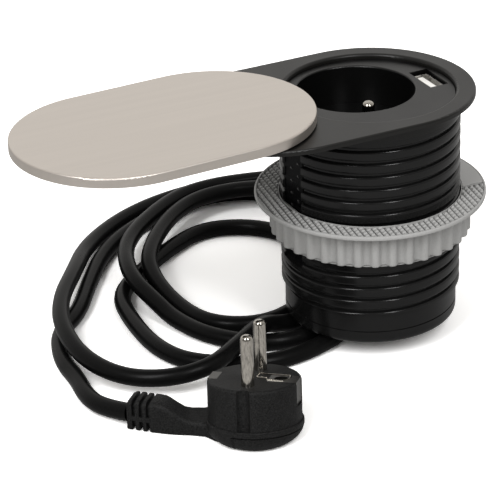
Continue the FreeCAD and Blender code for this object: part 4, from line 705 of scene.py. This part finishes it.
# Near and far place in plan, top, and whether a slot is cut in
BOOT_TIP = [
    ((-118.7, -30.7), (-111.6, -23.7), -86.3, 0), ((-117.9, -31.5), (-110.8, -24.5), -85.6, 0),
]
ARM = [
    ((-111.3, -38.2), (-104.2, -31.0), -85.5, 0), ((-109.5, -39.8), (-102.8, -32.3), -85.7, 0),
    ((-108.0, -41.1), (-101.6, -33.1), -86.5, 0), ((-105.5, -43.1), (-99.6, -34.4), -88.3, 0),
    ((-102.4, -45.2), (-97.0, -35.0), -90.6, 0), ((-100.0, -46.8), (-94.6, -35.6), -91.5, 0),
    ((-96.4, -49.8), (-90.4, -37.4), -91.8, 0), ((-94.8, -54.3), (-85.0, -38.6), -91.7, 0),
    ((-91.5, -59.3), (-78.0, -40.0), -91.6, 0),
]
# Way in from the flank, and up from the foot or down from the top
FOOT_CORNER = [(1.2, 0.0), (0.6, 0.16), (0.16, 0.6), (0.0, 1.2)]
TOP_CORNER = [(0.0, 2.2), (0.17, 1.36), (0.64, 0.64), (1.36, 0.17), (2.2, 0.0)]
SPINE_SHARE = 0.42
SPINE_HALF = 0.9
SPINE_HALF_FOOT = 1.0


def arm_stations():
    """Sections from the boot's tip to the sole."""
    stations = list(BOOT_TIP)
    for near, far in SLOT_STARTS:
        for step, slotted in SLOT_STEPS:
            stations.append((
                (near[0] + step, near[1] - step), (far[0] + step, far[1] - step), BOOT_TOP, slotted))
    return stations + ARM


def arm_ring(near, far, top, slotted):
    """A rounded slab section between two floor places, with a spine where slots are cut."""
    near = Vector((*near, 0))
    far = Vector((*far, 0))
    width = (far - near).length
    height = top - PLUG_FLOOR
    inset = BOOT_SLOT * slotted
    spine = SPINE_SHARE * height
    half = [(along + inset, up + inset) for along, up in FOOT_CORNER]
    half += [(inset, spine - SPINE_HALF_FOOT), (0.0, spine - SPINE_HALF),
             (0.0, spine + SPINE_HALF), (inset, spine + SPINE_HALF_FOOT)]
    half += [(along + inset, height - down - inset) for along, down in TOP_CORNER]
    section = half + [(width - along, up) for along, up in reversed(half)]
    across = (far - near) / width
    return [near + across * along + Vector((0, 0, PLUG_FLOOR + up)) for along, up in section]


def make_plug_shell():
    bm = bmesh.new()
    add_sole(bm)
    closed_loft(bm, [arm_ring(*station) for station in arm_stations()])
    return piece(
        "plug_sole_and_boot", bm, "plug_black", ["plug_sole", "plug_boot"], sharp=PLUG_SHARP_ANGLE)


# Raised edge of the plug's earth plate: a low closed ridge on the plug's face along a loop of places

PLATE_EDGE = [
    (1.2, 0.1), (4.7, 0.1), (5.4, -2.3), (11.3, -2.3), (13.2, 0.4), (12.8, 3.6), (11.8, 4.1), (1.6, 4.4),
    (0.9, 3.6), (0.9, 0.9),
]
RIDGE_HALF = 0.3
RIDGE_RISE = 0.25
RIDGE_SHOULDER = RIDGE_RISE * 0.7
RIDGE_FOOT = -0.05
# Share of the half width, and height
RIDGE_SECTION = [(1, RIDGE_FOOT), (0.9, RIDGE_SHOULDER), (0.4, RIDGE_RISE),
                 (-0.4, RIDGE_RISE), (-0.9, RIDGE_SHOULDER), (-1, RIDGE_FOOT)]


def make_contact_edge():
    bm = bmesh.new()
    rings = []
    for index, (x, y) in enumerate(PLATE_EDGE):
        before = Vector(PLATE_EDGE[index - 1])
        after = Vector(PLATE_EDGE[(index + 1) % len(PLATE_EDGE)])
        aside = (after - before).orthogonal().normalized() * RIDGE_HALF
        rings.append([bm.verts.new(on_plug(x + aside.x * side, y + aside.y * side, height))
                      for side, height in RIDGE_SECTION])
    skin(bm, rings, closed=True)
    return piece("contact_edge", bm, "nickel", [])


# Cord, from the outlet under the barrel in loose turns to the plug's boot

CORD_DIAMETER = 0.0068
CORD_ORDER = 3
CORD_STEPS = 8
CORD_FACETS = 6
CORD_EXIT = (0.03793, 0.04889, -0.09195)
CORD_END = (-0.1160, -0.0269, -0.0928)
# Heights of the cord's middle: on the floor, and over another turn
LOW = 3.45
HIGH = 10.8
# Place in plan, and height of the cord's middle above the floor
CORD_PLACES = [
    (46.1, 65.6, 6.0), (49.0, 88.7, HIGH), (37.9, 108.7, HIGH), (15.1, 119.8, HIGH),
    (-14.4, 124.9, HIGH), (-35.5, 116.3, HIGH), (-64.0, 92.4, HIGH), (-74.7, 63.0, HIGH),
    (-71.4, 44.2, 6.5), (-69.0, 33.2, LOW), (-63.0, 13.7, LOW), (-47.5, -2.4, LOW),
    (-28.5, -4.0, LOW), (-9.4, 7.3, LOW), (6.9, 26.9, LOW), (19.9, 50.4, 4.5), (29.9, 74.4, 10.3),
    (25.9, 96.3, 11.1), (8.3, 113.6, HIGH), (-17.0, 117.2, HIGH), (-38.5, 104.4, HIGH),
    (-60.4, 77.7, HIGH), (-64.7, 61.5, 7.5), (-63.0, 41.0, LOW), (-58.0, 22.9, LOW),
    (-42.1, 13.0, LOW), (-22.6, 17.7, LOW), (-8.0, 32.7, LOW), (4.3, 53.3, LOW), (6.6, 73.8, LOW),
    (-3.0, 92.7, LOW), (-23.8, 101.6, LOW), (-44.2, 91.5, LOW), (-62.0, 78.5, LOW),
    (-79.8, 63.4, LOW), (-84.4, 39.8, LOW), (-85.3, 14.6, LOW), (-77.8, -2.8, LOW),
    (-54.7, -16.9, LOW), (-30.3, -14.5, LOW), (-8.1, -2.4, LOW), (9.5, 17.4, LOW),
    (24.1, 41.2, LOW), (36.1, 69.1, LOW), (42.9, 97.0, LOW), (35.2, 121.5, LOW), (15.1, 135.6, LOW),
    (-17.0, 137.4, LOW), (-46.1, 129.7, LOW), (-74.2, 107.9, 5.0), (-90.7, 81.4, 9.0),
    (-106.5, 58.6, HIGH), (-115.6, 36.2, HIGH), (-117.2, 12.7, 9.0), (-109.2, -4.9, 7.0),
    (-94.6, -16.7, 8.0), (-77.9, -19.2, 10.2), (-62.4, -10.1, 11.5), (-47.3, 0.4, 11.4),
    (-37.9, 6.1, 6.1), (-27.1, 8.6, LOW), (-14.7, 14.3, LOW), (-1.0, 29.0, LOW), (12.2, 51.9, LOW),
    (23.0, 76.7, LOW), (26.1, 104.1, LOW), (9.7, 126.7, LOW), (-17.0, 130.1, LOW),
    (-46.6, 118.4, LOW), (-68.2, 102.9, LOW), (-86.4, 77.8, LOW), (-99.3, 57.7, LOW),
    (-113.7, 44.9, LOW), (-121.2, 23.5, LOW), (-121.5, 8.5, LOW), (-124.1, -6.2, 3.6),
    (-122.3, -17.8, 3.95),
]


def make_cord():
    curve = bpy.data.curves.new("lead", "CURVE")
    curve.dimensions = "3D"
    curve.bevel_depth = CORD_DIAMETER / 2
    curve.bevel_resolution = CORD_FACETS
    curve.resolution_u = CORD_STEPS
    points = [CORD_EXIT]
    points += [(x * MM, y * MM, FLOOR + height * MM) for x, y, height in CORD_PLACES]
    points.append(CORD_END)
    spline = curve.splines.new("NURBS")
    spline.points.add(len(points) - 1)
    for target, point in zip(spline.points, points):
        target.co = (*point, 1)
    spline.order_u = CORD_ORDER
    spline.use_endpoint_u = True
    lead = bpy.data.objects.new("lead", curve)
    scene.collection.objects.link(lead)
    curve.materials.append(MATERIALS["cord_black"])
    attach(lead, "block")
    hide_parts("cord")


make_barrel()
make_washer()
make_nut()
make_tongue()
plug_shell = make_plug_shell()
contact_edge = make_contact_edge()
make_cord()


# Floor and surroundings

FLOOR_REACH = 6.0
FLOOR_SEEN = 1.6
FLOOR_BOUNCE = 0.45
# Gradients that grow towards an azimuth, in degrees from +X, and upwards by their rise
BACKDROP = {"azimuth": 64.0, "rise": 0.25, "levels": (-0.6, 0.75), "strengths": (0.16, 0.9)}
FILL = {"azimuth": -165.0, "rise": 0.2, "levels": (-0.9, 0.9), "strengths": (0.2, 1.05)}
WHITE = (1.0, 1.0, 1.0)
WARM_WHITE = (1.0, 0.98, 0.95)


def colored(tree, kind, color):
    made = tree.nodes.new(kind)
    made.inputs["Color"].default_value = (*color, 1)
    return made


def seen_or_lit(tree, path, seen, lit):
    """One shader for what the camera sees, another for the light that falls on the object."""
    mix = tree.nodes.new("ShaderNodeMixShader")
    tree.links.new(path.outputs["Is Camera Ray"], mix.inputs["Fac"])
    tree.links.new(lit.outputs[0], mix.inputs[1])
    tree.links.new(seen.outputs[0], mix.inputs[2])
    return mix.outputs["Shader"]


def make_floor():
    """Paper floor: white to the camera where light reaches it, and grey to everything else."""
    mesh = bpy.data.meshes.new("floor")
    corners = [(x * FLOOR_REACH, y * FLOOR_REACH, FLOOR) for x, y in ((-1, -1), (1, -1), (1, 1), (-1, 1))]
    mesh.from_pydata(corners, [], [(0, 1, 2, 3)])
    floor = bpy.data.objects.new("floor", mesh)
    scene.collection.objects.link(floor)
    paper = bpy.data.materials.new("floor_paper")
    paper.use_nodes = True
    tree = paper.node_tree
    tree.nodes.clear()
    path = tree.nodes.new("ShaderNodeLightPath")
    seen = colored(tree, "ShaderNodeBsdfDiffuse", [FLOOR_SEEN * channel for channel in WHITE])
    lit = colored(tree, "ShaderNodeBsdfDiffuse", [FLOOR_BOUNCE * channel for channel in WHITE])
    out = tree.nodes.new("ShaderNodeOutputMaterial")
    tree.links.new(seen_or_lit(tree, path, seen, lit), out.inputs["Surface"])
    mesh.materials.append(paper)


def gradient(tree, azimuth, rise, levels, strengths):
    """The first strength at the first level and below, the second at the second and above."""
    coords = tree.nodes.new("ShaderNodeTexCoord")
    facing = tree.nodes.new("ShaderNodeVectorMath")
    facing.operation = "DOT_PRODUCT"
    heading = math.radians(azimuth)
    facing.inputs[1].default_value = (math.cos(heading), math.sin(heading), rise)
    level = tree.nodes.new("ShaderNodeMapRange")
    level.inputs["From Min"].default_value, level.inputs["From Max"].default_value = levels
    level.inputs["To Min"].default_value, level.inputs["To Max"].default_value = strengths
    tree.links.new(coords.outputs["Generated"], facing.inputs[0])
    tree.links.new(facing.outputs["Value"], level.inputs["Value"])
    return level.outputs["Result"]


def make_world():
    """White to the camera. Reflections see the backdrop's gradient, and dull surfaces the fill's."""
    world = bpy.data.worlds.new("studio")
    scene.world = world
    world.use_nodes = True
    tree = world.node_tree
    tree.nodes.clear()
    path = tree.nodes.new("ShaderNodeLightPath")
    seen = colored(tree, "ShaderNodeBackground", WHITE)
    lit = colored(tree, "ShaderNodeBackground", WARM_WHITE)
    strength = tree.nodes.new("ShaderNodeMix")
    tree.links.new(path.outputs["Is Diffuse Ray"], strength.inputs["Factor"])
    tree.links.new(gradient(tree, **BACKDROP), strength.inputs["A"])
    tree.links.new(gradient(tree, **FILL), strength.inputs["B"])
    tree.links.new(strength.outputs["Result"], lit.inputs["Strength"])
    out = tree.nodes.new("ShaderNodeOutputWorld")
    tree.links.new(seen_or_lit(tree, path, seen, lit), out.inputs["Surface"])


# Lamps: two tall softboxes in front of the object

# Name, azimuth in degrees from +X, width, and power in watts
LAMPS = (("key_left", -146.0, 0.26, 9.0), ("key_right", -88.0, 0.2, 6.5))
LAMP_ELEVATION = math.radians(42.0)
LAMP_DISTANCE = 1.3
SOFTBOX_HEIGHT = 0.7
LAMP_TARGET = Vector((-0.02, 0.02, -0.04))


def make_lamp(name, azimuth, width, power):
    data = bpy.data.lights.new(name, "AREA")
    data.shape = "RECTANGLE"
    data.size = width
    data.size_y = SOFTBOX_HEIGHT
    data.energy = power
    lamp = bpy.data.objects.new(name, data)
    scene.collection.objects.link(lamp)
    heading = math.radians(azimuth)
    level = math.cos(LAMP_ELEVATION)
    reach = Vector((math.cos(heading) * level, math.sin(heading) * level, math.sin(LAMP_ELEVATION)))
    lamp.location = LAMP_TARGET + reach * LAMP_DISTANCE
    lamp.rotation_mode = "QUATERNION"
    lamp.rotation_quaternion = reach.to_track_quat("Z", "Y")


# Camera: a long lens in front of the object, above it and to its left, rolled a little

CAMERA_PLACE = (-0.4546, -0.8205, 0.3962)
CAMERA_FORWARD = Vector((0.3954, 0.8054, -0.4417))
# Level, and at right angles to the view
CAMERA_LEVEL = Vector((0.8977, -0.4407, 0.0))
CAMERA_ROLL = math.asin(-0.0267)
CAMERA_LENS = 194.4
SENSOR_WIDTH = 36.0
CLIP_START = 0.01
CLIP_END = 50.0


def make_camera():
    data = bpy.data.cameras.new("camera")
    data.sensor_width = SENSOR_WIDTH
    data.lens = CAMERA_LENS
    data.clip_start = CLIP_START
    data.clip_end = CLIP_END
    camera = bpy.data.objects.new("camera", data)
    scene.collection.objects.link(camera)
    upward = CAMERA_LEVEL.cross(CAMERA_FORWARD)
    right = CAMERA_LEVEL * math.cos(CAMERA_ROLL) + upward * math.sin(CAMERA_ROLL)
    up = upward * math.cos(CAMERA_ROLL) - CAMERA_LEVEL * math.sin(CAMERA_ROLL)
    columns = Matrix((right, up, -CAMERA_FORWARD)).transposed()
    camera.matrix_world = Matrix.Translation(CAMERA_PLACE) @ columns.to_4x4()
    scene.camera = camera


make_floor()
make_world()
make_camera()
for lamp in LAMPS:
    make_lamp(*lamp)

scene.view_settings.view_transform = "Standard"
